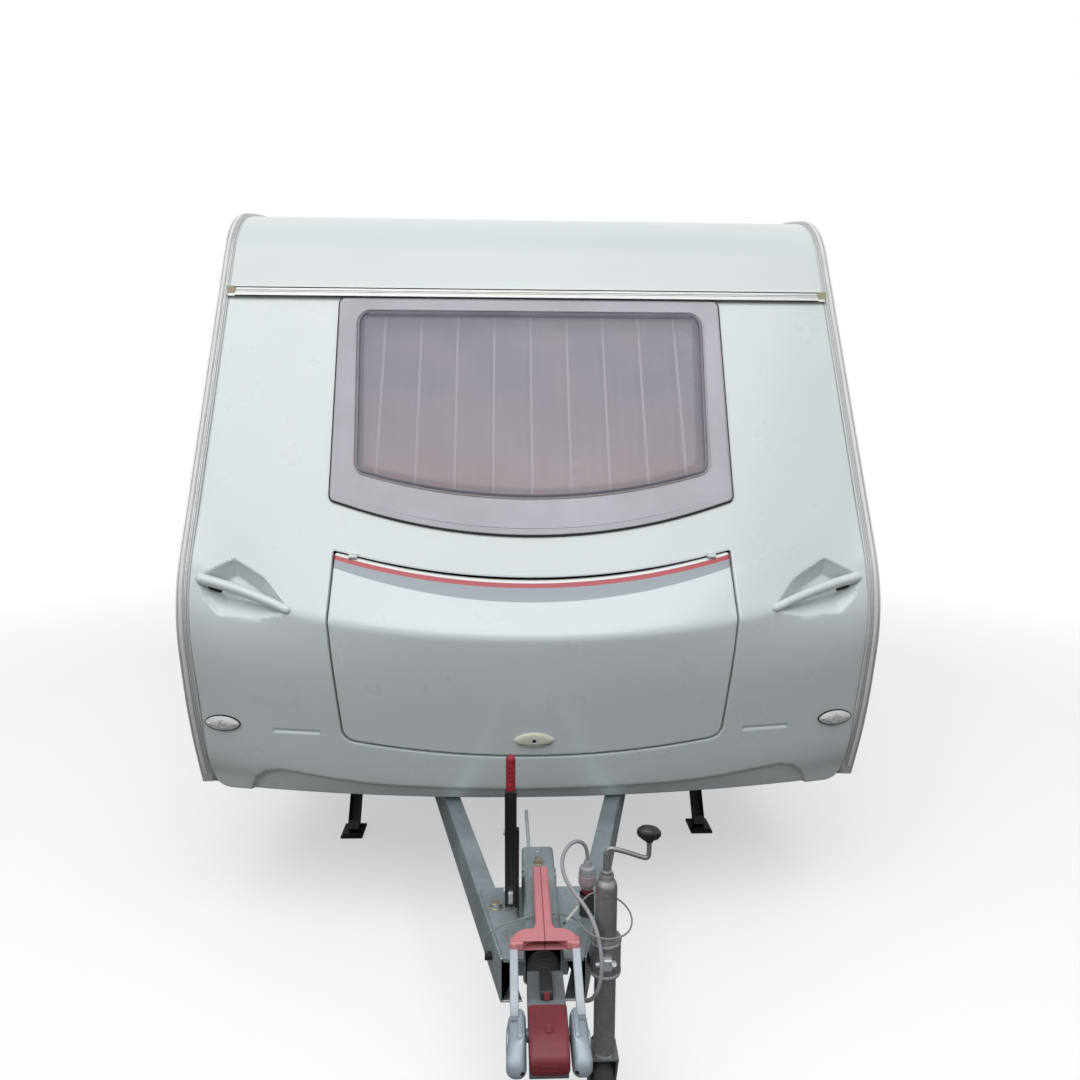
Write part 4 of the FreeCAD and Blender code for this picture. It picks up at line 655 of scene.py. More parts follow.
# Sheet over the front moulding inside a closed line in front view, with rounded-over edges
def patch(name, outer, holes=(), lift=None, spacing=0.014, depth=0.012, curl=0.003, finer=()):
    loops = [refine(list(outer), spacing * 0.6)] + [refine(list(h), spacing * 0.6) for h in holes]
    points, edges = [], []
    for loop in loops:
        start = len(points)
        points += [tuple(p) for p in loop]
        edges += [(start + k, start + (k + 1) % len(loop)) for k in range(len(loop))]
    for index, loop in enumerate(loops):
        ring = pairs(loop)
        normal = closedCrosswise(ring)
        probe = away(ring + normal * curl * 0.2, loop)
        side = np.where(probe > 0, 1, -1) * (1 if index == 0 else -1)
        for share in (0.35, 1.0, 2.2):
            moved = ring + normal * (side * curl * share)[:, None]
            far = np.abs(away(moved, loop))
            points += [tuple(p) for p, d in zip(moved, far) if d > curl * share * 0.9]
    low = np.min([tuple(p) for p in outer], axis=0)
    high = np.max([tuple(p) for p in outer], axis=0)
    grids = [(low, high, spacing)] + [(np.array(a), np.array(b), s) for a, b, s in finer]
    for a, b, step in grids:
        xs = np.arange(a[0] + step / 2, b[0], step)
        zs = np.arange(a[1] + step / 2, b[1], step)
        grid = np.stack(np.meshgrid(xs, zs), axis=-1).reshape(-1, 2)
        keep = away(grid, outer) > max(curl * 2.6, step * 0.4)
        for hole in holes:
            keep &= away(grid, hole) < -max(curl * 2.6, step * 0.4)
        for c, d, other in finer:
            if other < step:
                keep &= ~((grid > np.array(c)).all(axis=1) & (grid < np.array(d)).all(axis=1))
        points += [tuple(p) for p in grid[keep]]
    made, _, faces, _, _, _ = delaunay_2d_cdt([Vector(p) for p in points], edges, [], 0, 1e-6)
    flat = pairs(made)
    centres = np.array([flat[list(f)].mean(axis=0) for f in faces])
    keep = away(centres, outer) > 0
    for hole in holes:
        keep &= away(centres, hole) < 0
    faces = [f for f, k in zip(faces, keep) if k]
    border = away(flat, outer)
    for hole in holes:
        border = np.minimum(border, -away(flat, hole))
    drop = curl * (1 - np.sqrt(np.clip(1 - (1 - np.clip(border, 0, curl) / curl) ** 2, 0, 1)))
    y = frontY(flat[:, 0], flat[:, 1]) + drop
    if lift is not None:
        y = y - lift(flat)
    obj = fromFaces(name, np.stack([flat[:, 0], y, flat[:, 1]], axis=1), [tuple(f) for f in faces])
    bm = bmesh.new()
    bm.from_mesh(obj.data)
    faceForward(bm)
    rim = [e for e in bm.edges if e.is_boundary]
    walls = bmesh.ops.extrude_edge_only(bm, edges=rim)["geom"]
    for v in walls:
        if isinstance(v, bmesh.types.BMVert):
            v.co.y += depth
    faceForward(bm)
    loose = [v for v in bm.verts if not v.link_faces]
    bmesh.ops.delete(bm, geom=loose, context="VERTS")
    bm.to_mesh(obj.data)
    bm.free()
    return obj


# A solid's surface, and where a line of sight from the front meets it
def sights(name):
    node = nodes[name]
    mesh = node.data
    points = [node.matrix_world @ v.co for v in mesh.vertices]
    return BVHTree.FromPolygons(points, [tuple(p.vertices) for p in mesh.polygons])


def fromFront(surface, x, z, start=-3.2):
    return surface.ray_cast(Vector((x, start, z)), Vector(lengthways))[:2]


def smooth(value, low, high):
    t = np.clip((value - low) / (high - low), 0, 1)
    return t * t * (3 - 2 * t)


lid = dict(gap=0.0062, swing=0.0035, top=(0.599, 1.219), waist=(0.603, 1.033), foot=(0.576, 0.655),
           footLow=0.575, footRadius=3.75, topLow=1.075)


def lidLine(grow, swing=0.0):
    radius = 0.9 * (lid["top"][0] ** 2 + (0.072 - swing) ** 2) / (2 * (0.072 - swing))
    corners = symmetric([
        (lid["top"][0] + grow, lid["top"][1] + grow, 0.006),
        (lid["waist"][0] + grow, lid["waist"][1], 0.045),
        (lid["foot"][0] + grow, lid["foot"][1] - grow, 0.045),
        (0, lid["footLow"] - grow, lid["footRadius"])])
    return rounded(corners + [(0, lid["topLow"] + 2 * swing + grow, radius)])


# Outlines: upper and lower corner, middle of the foot, corner radius and radius of the foot
window = dict(rim=((0.649, 2.033), (0.629, 1.372), 1.182, 0.022, 1.917),
              hole=((0.627, 2.011), (0.607, 1.394), 1.204, 0.022, 1.917),
              pane=((0.584, 1.986), (0.556, 1.460), 1.318, 0.042, 1.991), rimLift=0.0093, paneLift=0.020)


def bowed(top, foot, low, radius, bow):
    return rounded(symmetric([(*top, radius), (*foot, radius), (0, low, bow)]))


windowLine, windowHole, paneLine = (bowed(*window[key]) for key in ("rim", "hole", "pane"))

grab = dict(apex=(0.899, 1.200), outer=(1.002, 1.148), inner=(0.716, 1.056), depth=0.045)
grabLine = rounded([(*grab["apex"], 0.020), (*grab["outer"], 0.016), (0.985, 1.092, 0.03),
                    (0.940, 1.043, 0.03), (0.820, 1.036, 0.06), (*grab["inner"], 0.010),
                    (0.795, 1.142, 0.14)], 0.004)
groove = dict(x=(0.648, 0.798), z=0.673, half=0.006, depth=0.005)
chin = dict(shelf=[(0.0, 0.485), (0.30, 0.488), (0.50, 0.495), (0.62, 0.507), (0.72, 0.521), (0.79, 0.530),
                   (0.84, 0.520), (0.875, 0.490), (0.905, 0.432)], depth=0.014)


# Grab recesses, grooves and the step over the chin
def mouldingLift(flat):
    side = np.stack([np.abs(flat[:, 0]), flat[:, 1]], axis=1)
    inside = away(side, grabLine)
    hollow = np.clip(inside * 0.95, 0, grab["depth"]) + 0.004 * smooth(inside, -0.001, 0.004)
    slot = np.maximum(np.abs(side[:, 1] - groove["z"]) - groove["half"],
                      np.maximum(groove["x"][0] - side[:, 0], side[:, 0] - groove["x"][1]))
    cut = groove["depth"] * (1 - smooth(slot, -0.005, 0.001))
    line = np.interp(side[:, 0], [p[0] for p in chin["shelf"]], [p[1] for p in chin["shelf"]])
    reached = side[:, 0] < chin["shelf"][-1][0] + 0.02
    step = chin["depth"] * (1 - smooth(side[:, 1] - line, -0.006, 0.004)) * reached
    return -(hollow + cut + step)


panelLine = rounded([(-1.025, 0.438, 0.055), (1.025, 0.438, 0.055), (1.025, 2.052, 0), (-1.025, 2.052, 0)])
# Areas with finer steps: their near and far ends across, their foot and top, and the step
fineAreas = []
for side, (near, far, low, high, step) in itertools.product((-1, 1), (
        (0.70, 1.015, 1.03, 1.215, 0.006), (0.64, 0.806, 0.655, 0.69, 0.004))):
    left, right = sorted((side * near, side * far))
    fineAreas.append(((left, low), (right, high), step))
panel = patch("frontMoulding", panelLine, [lidLine(lid["gap"], lid["swing"]), windowHole], mouldingLift,
              depth=0.028, curl=0.004, finer=fineAreas + [((-0.92, 0.45), (0.92, 0.54), 0.007)])
finish(panel, "front_panel", ["front_panel"], angle=50)
print("front moulding made", len(panel.data.polygons))

lidSheet = patch("lockerCover", lidLine(0), depth=0.020, curl=0.003)
finish(lidSheet, "locker_lid", ["locker_lid"], "lid_striped", angle=50)
print("locker cover made", len(lidSheet.data.polygons))


def windowLift(flat):
    rise = smooth(away(flat, paneLine), -0.006, 0.034)
    return window["rimLift"] + (window["paneLift"] - window["rimLift"]) * rise


pane = patch("frontPane", windowLine, (), windowLift, depth=0.006, curl=0.004)
finish(pane, "front_window", ["front_window"], angle=50)
pane.data.materials.append(finishes["window_rim"])
middles = np.empty(len(pane.data.polygons) * 3)
pane.data.polygons.foreach_get("center", middles)
outside = away(middles.reshape(-1, 3)[:, [0, 2]], paneLine) < 0.002
pane.data.polygons.foreach_set("material_index", outside.astype(np.int32))
print("front pane made", len(pane.data.polygons))


# Coupling: head, cheeks, bumper, gauge and bellows
def sidePiece(corners, x0, x1, edge=0.002, steps=4, step=0.004):
    return slab(rounded(corners, step), origin, lengthways, upwards, sideways, x0, x1, edge, steps)


def frontPiece(outline, y0, y1, edge=0.002, steps=4):
    return slab(outline, origin, sideways, upwards, (0, -1, 0), -y1, -y0, edge, steps)


coupling = dict(cheekX=(0.0433, 0.0800), cheekY=(-2.844, -2.726), cheekZ=(0.356, 0.440), socketY=-2.758,
                axis=0.402, button=(0, -2.799, 0.4474), gauge=(0.013, -2.722, -2.630, 0.462))
softened("coupling_head", 0.002, 2, wide=(lambda e: all(abs(abs(v.co.x) - 0.038) < 0.0005 and v.co.z > 0.415
                                                        for v in e.verts), 0.013, 5))

# Cover over the head's nose: one shell with rounded sides, drawn in at its foot
noseLine = through([(0, -2.8206, 0.3862), (0, -2.838, 0.3860), (0, -2.8470, 0.3895), (0, -2.8500, 0.3985),
                    (0, -2.8500, 0.4140), (0, -2.8440, 0.4255), (0, -2.8310, 0.4345), (0, -2.8160, 0.4425),
                    (0, -2.7960, 0.4485), (0, -2.7420, 0.4555)], 56)
lean = np.gradient(noseLine, axis=0)
lean /= np.linalg.norm(lean, axis=1)[:, None]
inwards = np.stack([np.zeros(len(lean)), lean[:, 2], -lean[:, 1]], axis=1)
sections = []
shell = dict(half=0.0383, edge=0.011, seam=0.397, foot=0.0109, fall=0.0050, square=14, steps=21, thick=0.0085)
for point, way in zip(noseLine, inwards):
    foot = np.clip(shell["seam"] - point[2], 0, shell["foot"])
    wide = shell["half"] - shell["edge"] + math.sqrt(shell["edge"] ** 2 - foot ** 2)
    across = wide * np.sin(np.linspace(-math.pi / 2, math.pi / 2, shell["steps"]))
    drop = shell["fall"] * np.abs(across / wide) ** shell["square"]
    outer = point + np.outer(drop, way)
    outer[:, 0] = across
    deep = min(shell["thick"], 0.0062 + 0.03 * max(0.0, -2.80 - point[1]))
    inner = np.repeat((point + way * deep)[None], 2, axis=0)
    inner[:, 0] = (wide - 0.002, -wide + 0.002)
    sections.append(np.vstack([outer, inner]))
skin("bumperShell", [rings(sections)], "coupling_bumper")
(y0, y1), (z0, z1) = coupling["cheekY"], coupling["cheekZ"]
cheekLine = [(y0, z0 + 0.013, 0.0205), (y1, z0 + 0.020, 0.024), (y1, z1, 0.0165), (y0 + 0.030, z1, 0.026),
             (y0, z0 + 0.050, 0.030)]
cheek = sidePiece(cheekLine, *coupling["cheekX"], 0.0150, 8)
spots = np.array(cheek[0])
share = np.clip((spots[:, 2] - z0) / (z1 - z0), 0, 1)
egg = 0.40 + 0.68 * np.sqrt(np.clip(1 - (2 * share - 0.95) ** 2, 0, 1)) ** 0.8
spots[:, 0] = coupling["cheekX"][0] + (spots[:, 0] - coupling["cheekX"][0]) * np.clip(egg, 0.4, 1.06)
cheek = (spots, cheek[1])
cap = lathe([(0.021, 0), (0.021, 0.003), (0.018, 0.0045), (0.009, 0.005)],
            (0.0775, coupling["socketY"] - 0.02, coupling["axis"]), sideways, 36)
ridge = sidePiece([(y0 + 0.030, z1 - 0.006, 0.004), (y1 - 0.008, z1 - 0.006, 0.004),
                   (y1 - 0.008, z1 + 0.004, 0.004), (y0 + 0.036, z1 + 0.004, 0.004)], 0.050, 0.060, 0.003)
neck = lathe([(0.0125, -0.001), (0.0125, 0.012)], (0.0375, coupling["socketY"], coupling["axis"]), sideways,
             24)
fork = [np.array(p) for p in ((0.066, -2.762, 0.4435), (0.066, -2.744, 0.446), (0.066, -2.70, 0.466),
                              (0.066, -2.646, 0.489), (0.066, -2.613, 0.5035))]
bar = np.array([(a * 0.0088, b * 0.0052) for a, b in (
    (-1, -0.6), (-0.8, -1), (0.8, -1), (1, -0.6), (1, 0.6), (0.8, 1), (-0.8, 1), (-1, 0.6))])
forkBar = pipe(through(fork, 24), 1.0, sections=bar)
detail("forkBars", bothSides([forkBar]), "stabiliser_arms", "silver_bar")
skin("stabiliserCheeks", bothSides([cheek, cap, ridge, neck]), "stabiliser_arms", "cheek_silver")
cheekSurface = BVHTree.FromPolygons([tuple(p) for p in cheek[0]], [tuple(f) for f in cheek[1]])
hit, facing = fromFront(cheekSurface, 0.0515, 0.3905)
holes = bothSides([lathe([(0.0042, -0.002), (0.0042, 0.0005), (0.001, 0.0006)], tuple(hit),
                         tuple(facing if facing.y < 0 else -facing), 20)])
# Painted shade: dark discs for the shade inside the cheeks' bolt holes
detail("cheekHoles", holes, "stabiliser_arms", "dark_hollow", even=False)

button = [lathe([(0.0098, -0.001), (0.0098, 0.0012), (0.0090, 0.0020), (0.0080, 0.0012), (0.0074, 0.0010),
                 (0.0068, 0.0016), (0.0045, 0.0018), (0.001, 0.0018)], coupling["button"], (0, -0.18, 1), 36)]
detail("bumperButton", button, "coupling_bumper")
bumperBars = [frontPiece(rounded(softBox(-0.016, 0.016, z, z + 0.0035, 0.0017), 0.001), -2.8512, -2.8490,
                         0.0008, 3) for z in (0.400, 0.408)]
detail("bumperBars", bumperBars, "coupling_bumper")

# Bellows with full folds, and the wear gauge on top of the head
fold = dict(count=5, steps=60, outer=0.0375, depth=0.0085, neck=0.0256, length=0.0712, y=-2.6096)
folds = [(fold["outer"] - fold["depth"] * (0.5 + 0.5 * math.cos(2 * math.pi * fold["count"] * at)) ** 0.8,
          fold["length"] * at) for at in (k / fold["steps"] for k in range(fold["steps"] + 1))]
bellows = lathe([(fold["neck"], 0)] + folds + [(fold["neck"], fold["length"])],
                (0, fold["y"], coupling["axis"]), lengthways, 56)
half, g0, g1, top = coupling["gauge"]
gaugeLine = [(g0 + 0.004, top - 0.020, 0.003), (g1 - 0.002, top - 0.020, 0.003),
             (g1 - 0.004, top - 0.003, 0.004), (g0 + 0.010, top, 0.006)]
gauge = [sidePiece(gaugeLine, -half, half, 0.003)]
for k in range(7):
    y = g0 + 0.030 + k * 0.0085
    gauge.append(block((-half + 0.002, y, top - 0.004),
                       (half - 0.002, y + 0.0045, top + 0.0006 - 0.0003 * k), 0.001))
skin("bellowsAndGauge", [bellows] + gauge, "shaft_gaiter")
detail("gaugeWindow", [sidePiece([(g0 + 0.0015, top - 0.014, 0.001), (g0 + 0.006, top - 0.014, 0.001),
                                  (g0 + 0.012, top - 0.0015, 0.001), (g0 + 0.0075, top - 0.0015, 0.001)],
                                 -0.0055, 0.0055, 0.0008)], "shaft_gaiter", "bumper_red")
print("coupling made")

# Handle of the stabiliser: yoke with an arch and a seamed grip
yokeLine = [(0.072, -2.629, 0.004), (0.066, -2.596, 0.012), (0.046, -2.579, 0.010), (0.024, -2.578, 0.004),
            (0.0185, -2.560, 0.008), (0.0185, -2.3505, 0.009)]
arch = [(0.050 * math.sin(t), -2.646 + 0.050 * math.cos(t)) for t in np.linspace(-1.24, 1.24, 25)]
flatLine = rounded(symmetric(yokeLine), 0.003)
handleOutline = [tuple(p) for p in flatLine] + arch
rawHandle = slab(handleOutline, origin, sideways, lengthways, upwards, 0, 0.0215, 0.0055, 6)
spots = np.array(rawHandle[0])
rise = 0.494 + np.interp(spots[:, 1], [-2.65, -2.585, -2.55, -2.35], [0, 0.0006, 0.0030, 0.0158])
thin = np.interp(spots[:, 1], [-2.60, -2.56, -2.35], [0.93, 1.0, 1.0])
spots[:, 2] = rise + spots[:, 2] * thin
legs = bothSides([sidePiece([(-2.636, 0.478, 0.005), (-2.606, 0.486, 0.006), (-2.600, 0.512, 0.006),
                             (-2.630, 0.514, 0.006)], 0.0555, 0.0745, 0.0045, 5)])
skin("stabiliserHandle", [(spots, rawHandle[1])] + legs, "stabiliser_grip", "grip_seamed")
print("handle made")

# Drawbar: arms, plate, housing, handbrake
drawbar = dict(plateTop=0.440, boltX=0.108, boltY=-2.375, holder=(0.110, -2.410), leverX=(-0.086, -0.058),
               leverFoot=(-2.379, -2.321), leverHead=(-2.429, -2.403), leverTop=0.756)
softened("drawbar_arms", 0.0035, 3, angle=40)
softened("cable_mounts", 0.0008, 2)
softened("drawbar_plate", 0.0012, 2)
plateBits = []
for s in (-1, 1):
    plateBits += bolt((s * drawbar["boltX"], drawbar["boltY"], drawbar["plateTop"]), upwards, 0.022, 0.0125,
                      0.0165)
detail("plateBolts", plateBits, "drawbar_arms", "brass_zinc")
housing = dict(half=0.042, z=(0.352, 0.474), y=(-2.538, -2.150), corner=0.010, flange=0.0025,
               flangeEnd=-2.522, top=0.4738, nipples=(-2.497, -2.196), straps=(-2.300, -2.272), bolt=-2.235)


def housingLine(grow, corner):
    half, (low, high) = housing["half"] + grow, housing["z"]
    return rounded(softBox(-half, half, low - grow, high + grow, corner), 0.002)


tube = frontPiece(housingLine(0, housing["corner"]), *housing["y"], 0.0025, 4)
flange = frontPiece(housingLine(housing["flange"], housing["corner"] + 0.002), housing["y"][0],
                    housing["flangeEnd"], 0.002, 3)
nipples = [lathe([(0.005, 0), (0.005, 0.004), (0.0032, 0.0045), (0.0032, 0.009), (0.0045, 0.011),
                  (0.003, 0.013)], (0, y, housing["top"]), upwards, 20) for y in housing["nipples"]]
strap = [block((-0.0436, y, 0.44), (0.0436, y + 0.012, 0.4752), 0.001) for y in housing["straps"]]
skin("overrunHousing", [tube, flange] + nipples + strap, "overrun_housing")
housingBolt = bolt((0, housing["bolt"], housing["top"]), upwards, 0.020, 0.012, 0.013)
detail("housingBolt", housingBolt, "drawbar_arms", "brass_zinc")
rodPath = through([(-0.020, -2.150, 0.418), (-0.020, -2.10, 0.418), (-0.021, -1.95, 0.416),
                   (-0.022, -1.82, 0.415)], 20)
detail("brakeRod", [pipe(rodPath, 0.005)], "drawbar_arms", "fork_steel")

# Pressed lever with two ribs on its face, a strut beside it and a toothed quadrant at its foot
(x0, x1), (f0, f1), (h0, h1) = drawbar["leverX"], drawbar["leverFoot"], drawbar["leverHead"]
top = drawbar["leverTop"]


def leverAt(z, share):
    k = (z - 0.4403) / (top - 0.4403)
    return f0 + (h0 - f0) * k + share * ((f1 - f0) * (1 - k) + (h1 - h0) * k)


def leverBar(z0, z1, share0, share1, xa, xb, edge=0.002):
    return sidePiece([(leverAt(z0, share0), z0, 0.003), (leverAt(z0, share1), z0, 0.003),
                      (leverAt(z1, share1), z1, 0.003), (leverAt(z1, share0), z1, 0.003)], xa, xb, edge)


# Plate, two edges, two ribs and the strut: foot, head, the shares they span, left and right ends, edge
lever = [leverBar(*bar) for bar in (
    (0.4405, top, 0.12, 1, x0 + 0.002, x1 - 0.002, 0.002),
    (0.4405, top, 0, 0.9, x0, x0 + 0.004, 0.0015), (0.4405, top, 0, 0.9, x1 - 0.004, x1, 0.0015),
    (0.50, 0.735, 0.035, 0.13, x0 + 0.0075, x0 + 0.0115, 0.0018),
    (0.50, 0.735, 0.035, 0.13, x1 - 0.0115, x1 - 0.0075, 0.0018),
    (0.4405, 0.650, 0.35, 0.75, -0.0577, -0.0517, 0.0015))]
teeth = []
quadrant = dict(y=-2.350, z=0.4404, radii=(0.0745, 0.078), steps=72)
for k in range(quadrant["steps"] + 1):
    t, r = math.pi * k / quadrant["steps"], quadrant["radii"][k % 2]
    teeth.append((quadrant["y"] + r * math.cos(t), quadrant["z"] + r * math.sin(t)))
lever.append(slab(teeth, origin, lengthways, upwards, sideways, -0.0576, -0.0519, 0.0006, 2))
skin("handbrakeLever", lever, "handbrake_lever")
pins = [lathe([(0.0075, 0), (0.0075, 0.002), (0.006, 0.0035)], (x0 - 0.0002, leverAt(z, 0.5), z), (-1, 0, 0),
              24) for z in (0.470, 0.640)]
footY, headY = (leverAt(z, 0.0) for z in (0.452, 0.486))
pins.append(sidePiece([(footY - 0.003, 0.450, 0.003), (footY + 0.010, 0.450, 0.003),
                       (headY + 0.010, 0.484, 0.003), (headY - 0.003, 0.484, 0.003)], -0.078, -0.066, 0.002))
detail("leverPins", pins, "handbrake_lever", "fork_steel")
gripLine = [(0.0128, 0.0), (0.0135, 0.002), (0.0128, 0.005)]
for z in (0.012, 0.023, 0.034, 0.045, 0.056):
    gripLine += [(0.0133, z), (0.0133, z + 0.006), (0.0122, z + 0.008), (0.0122, z + 0.009)]
gripLine += [(0.0133, 0.069), (0.0130, 0.076), (0.0108, 0.082), (0.0065, 0.085), (0.001, 0.0857)]
gripShape = lathe([(r * 0.86, h) for r, h in gripLine], (-0.072, -2.416, 0.7563), upwards, 40)
skin("handbrakeGrip", [gripShape], "handbrake_grip", "grip_crimson", even=False)
print("drawbar made")

# Jockey wheel: clamp, shouldered tube, crank, stem, fork and wheel
jockey = dict(spot=(0.137, -2.560), clamp=(0.396, 0.480), crank=(0.229, 0.706), wheel=(-2.516, 0.092))
jx, jy = jockey["spot"]
tubeLine = [(0.001, 0.580), (0.0206, 0.580), (0.0206, 0.206), (0.0240, 0.206), (0.0243, 0.209),
            (0.0240, 0.212), (0.0240, 0.592), (0.0236, 0.600), (0.0222, 0.606), (0.0196, 0.611),
            (0.0172, 0.614), (0.0160, 0.6165), (0.0160, 0.626), (0.0150, 0.628), (0.001, 0.628)]
dimples = [lathe([(0.004, 0), (0.004, 0.0006), (0.0028, 0.001)], (jx, jy - 0.0237, z), (0, -1, 0), 16)
           for z in (0.355, 0.585)]
skin("jockeyTube", [lathe(tubeLine, (jx, jy, 0), upwards, 48)] + dimples, "jockey_outer_tube", even=False)
softened("jockey_clamp", 0.002, 3)
c0, c1 = jockey["clamp"]
clampBits = [lathe([(0.0345, z - 0.0035), (0.0352, z - 0.002), (0.0352, z + 0.002), (0.0345, z + 0.0035)],
                   (jx, jy, 0), upwards, 48, loop=True) for z in (c0 + 0.006, c1 - 0.006)]
clampBits.append(sidePiece(softBox(jy - 0.046, jy - 0.030, 0.425, 0.452, 0.004), jx - 0.009, jx + 0.009,
                           0.002))
clampBits += bolt((jx + 0.009, jy - 0.039, 0.4385), sideways, 0.013, 0.009, 0.009)
clampBits.append(pipe([(jx - 0.009, jy - 0.039, 0.4385), (jx - 0.026, jy - 0.039, 0.4385)], 0.005))
clampBits.append(pipe([(jx - 0.022, jy - 0.039, 0.402), (jx - 0.022, jy - 0.039, 0.475)], 0.0042))
detail("clampScrew", clampBits, "jockey_clamp", "fork_steel")
kx, kz = jockey["crank"]
stem = lathe([(0.0125, 0.6283), (0.0125, 0.634), (0.0085, 0.636), (0.008, 0.640), (0.008, 0.676)],
             (jx, jy, 0), upwards, 28)
armPath = through([(jx, jy, 0.668), (jx + 0.001, jy, 0.680), (jx + 0.010, jy, 0.6845),
                   (jx + 0.040, jy, 0.677), (jx + 0.078, jy, 0.664), (jx + 0.089, jy, 0.664),
                   (kx, jy, 0.675), (kx, jy, 0.708)], 60)
bar = pipe(armPath, 0.0054, 16, squash=0.9, up=lengthways)
skin("crankArm", [stem, bar], "jockey_crank", even=False)
knob = lathe([(0.0085, 0), (0.0115, 0.003), (0.0175, 0.008), (0.0205, 0.015), (0.0195, 0.023),
              (0.0145, 0.029), (0.006, 0.0315), (0.001, 0.032)], (kx - 0.003, jy, kz - 0.003), (0.12, 0, 1),
             44, squash=(0.92, 1.32))
collar = lathe([(0.0085, 0), (0.0085, 0.006)], (kx, jy, kz - 0.006), upwards, 24)
detail("crankKnob", [knob, collar], "jockey_crank", "lever_black")
stemLine = [(0.0200, 0.1963), (0.0200, 0.556), (0.0190, 0.560), (0.001, 0.560)]
skin("jockeyStem", [lathe(stemLine, (jx, jy, 0), upwards, 40)], "jockey_inner_tube", "fork_steel", even=False)
softened("jockey_fork", 0.0015, 2)
wy, wz = jockey["wheel"]
tread = [(0.0585, -0.0230), (0.066, -0.0230), (0.078, -0.0215), (0.086, -0.0165), (0.0905, -0.009),
         (0.092, 0.0)]
tread = tread + [(r, -h) for r, h in tread[-2::-1]]
treadPiece = lathe(tread, (jx, wy, wz), sideways, 72, loop=True)
rimLine = [(0.0072, -0.0245), (0.016, -0.0245), (0.017, -0.012), (0.024, -0.0055), (0.044, -0.0045),
           (0.050, -0.0085), (0.052, -0.0175), (0.0583, -0.0185)]
rimLine = rimLine + [(r, -h) for r, h in rimLine[::-1]]
rimPiece = lathe(rimLine, (jx, wy, wz), sideways, 72, loop=True)
skin("jockeyTread", [treadPiece], "jockey_wheel", even=False)
spokes = [pipe([(jx, wy + r * c, wz + r * s) for r in (0.018, 0.049)], 0.008, 12, squash=0.5, up=sideways)
          for c, s in wayRound(6)]
detail("jockeyRim", [rimPiece] + spokes, "jockey_wheel", "steady_black")
print("jockey wheel made")

# Plug of the towing lead, and the clip at the end of the breakaway wire
plugFoot = 0.494
px, py = drawbar["holder"]
plugBody = lathe([(0.0115, 0.000), (0.0125, 0.001), (0.0125, 0.012), (0.0150, 0.016), (0.0195, 0.022),
                  (0.0208, 0.028), (0.0208, 0.046), (0.0200, 0.047)], (px, py, plugFoot), upwards, 44)
ribs = [pipe([(px + r * c, py + r * s, z) for r, z in ((0.0196, 0.542), (0.0172, 0.5585))], 0.0016, 8)
        for c, s in wayRound(16)]
cap = lathe([(0.0195, 0.0465), (0.0195, 0.050), (0.0178, 0.0640), (0.0150, 0.0665), (0.0108, 0.068),
             (0.0100, 0.072), (0.0082, 0.0815), (0.0055, 0.082)], (px, py, plugFoot), upwards, 44)
skin("plugBody", [plugBody], "plug", even=False)
detail("plugCap", [cap] + ribs, "plug", "cable_sheath")
plugTip = lathe([(0.0128, 0.0), (0.0133, 0.002), (0.0133, 0.009), (0.0128, 0.011)],
                (px, py, plugFoot + 0.0005), upwards, 36)
detail("plugTip", [plugTip], "plug", "bumper_red")
holder = lathe([(0.0175, 0.440), (0.0185, 0.441), (0.0175, 0.444), (0.0172, 0.490), (0.0182, 0.4925),
                (0.0176, 0.4937)], (px, py, 0), upwards, 40)
detail("plugHolder", [holder], "drawbar_arms", "trim_dark")
softened("breakaway_clip", 0.0012, 3, finishName="jockey_steel")
print("plug and clip made")


# Closed or open bead that follows the front moulding; points are (x, z)
def frontBead(line, lift, wide, high, loop=True, step=0.012, sections=10):
    if loop:
        flat = pairs(refine([Vector(p) for p in line], step))
        normal = closedCrosswise(flat)
    else:
        flat = np.array(line, float)
        normal = crosswise(np.vstack([flat[:1], flat[:-1]]), np.vstack([flat[1:], flat[-1:]]))
    columns = []
    for c, s in wayRound(sections):
        c, s = math.copysign(abs(c) ** 0.7, c), math.copysign(abs(s) ** 0.7, s)
        spot = flat + normal * wide * c
        columns.append(np.stack([spot[:, 0], frontY(flat[:, 0], flat[:, 1]) - lift - high * s, spot[:, 1]],
                                axis=1))
    return rings(np.stack(columns, axis=1), loop=loop)


def inset(line, amount):
    flat = pairs(refine([Vector(p) for p in line], 0.02))
    normal = closedCrosswise(flat)
    probe = away(flat + normal * 0.001, line)
    normal *= np.where(probe > 0, 1, -1)[:, None]
    moved = flat + normal * amount
    keep = away(moved, line) > abs(amount) * 0.98 if amount > 0 else np.ones(len(moved), bool)
    return [Vector(p) for p in moved[keep]]


# Window: rubber seal under the pane's rim, a pale bead, a dark band of painted shade inside it, and catches
# down both sides
sealBeads = [frontBead(inset(windowLine, 0.0135), 0.0030, 0.0095, 0.0030),
             frontBead(inset(windowLine, 0.001), 0.0045, 0.004, 0.0042)]
detail("windowSeal", sealBeads, "front_window", "rubber_seal")
paleBead = frontBead(inset(paneLine, -0.004), 0.0125, 0.0022, 0.0016)
detail("windowBead", [paleBead], "front_window", "bead_pale")
topShadeBand = [(x, 1.9725) for x in np.linspace(-0.545, 0.545, 30)]
# Painted shade: a dark band inside the pane's rim, wider along its top
paneShadeBands = [frontBead(inset(paneLine, 0.005), 0.0193, 0.0042, 0.0016),
             frontBead(topShadeBand, 0.0197, 0.0075, 0.0008, loop=False)]
detail("paneBand", paneShadeBands, "front_window", "pane_band")
catches = []
for side in (-1, 1):
    for x, z, length in ((0.610, 1.955, 0.030), (0.606, 1.84, 0.045), (0.600, 1.62, 0.040)):
        heights = [z + k * length for k in (0, 0.5, 1)]
        path = np.array([(side * (x + 0.018), frontY(x, high) + 0.001, high) for high in heights])
        catches.append(pipe(path, 0.0055, 10, squash=0.6, up=lengthways))
detail("windowCatches", catches, "front_window", "rubber_seal")


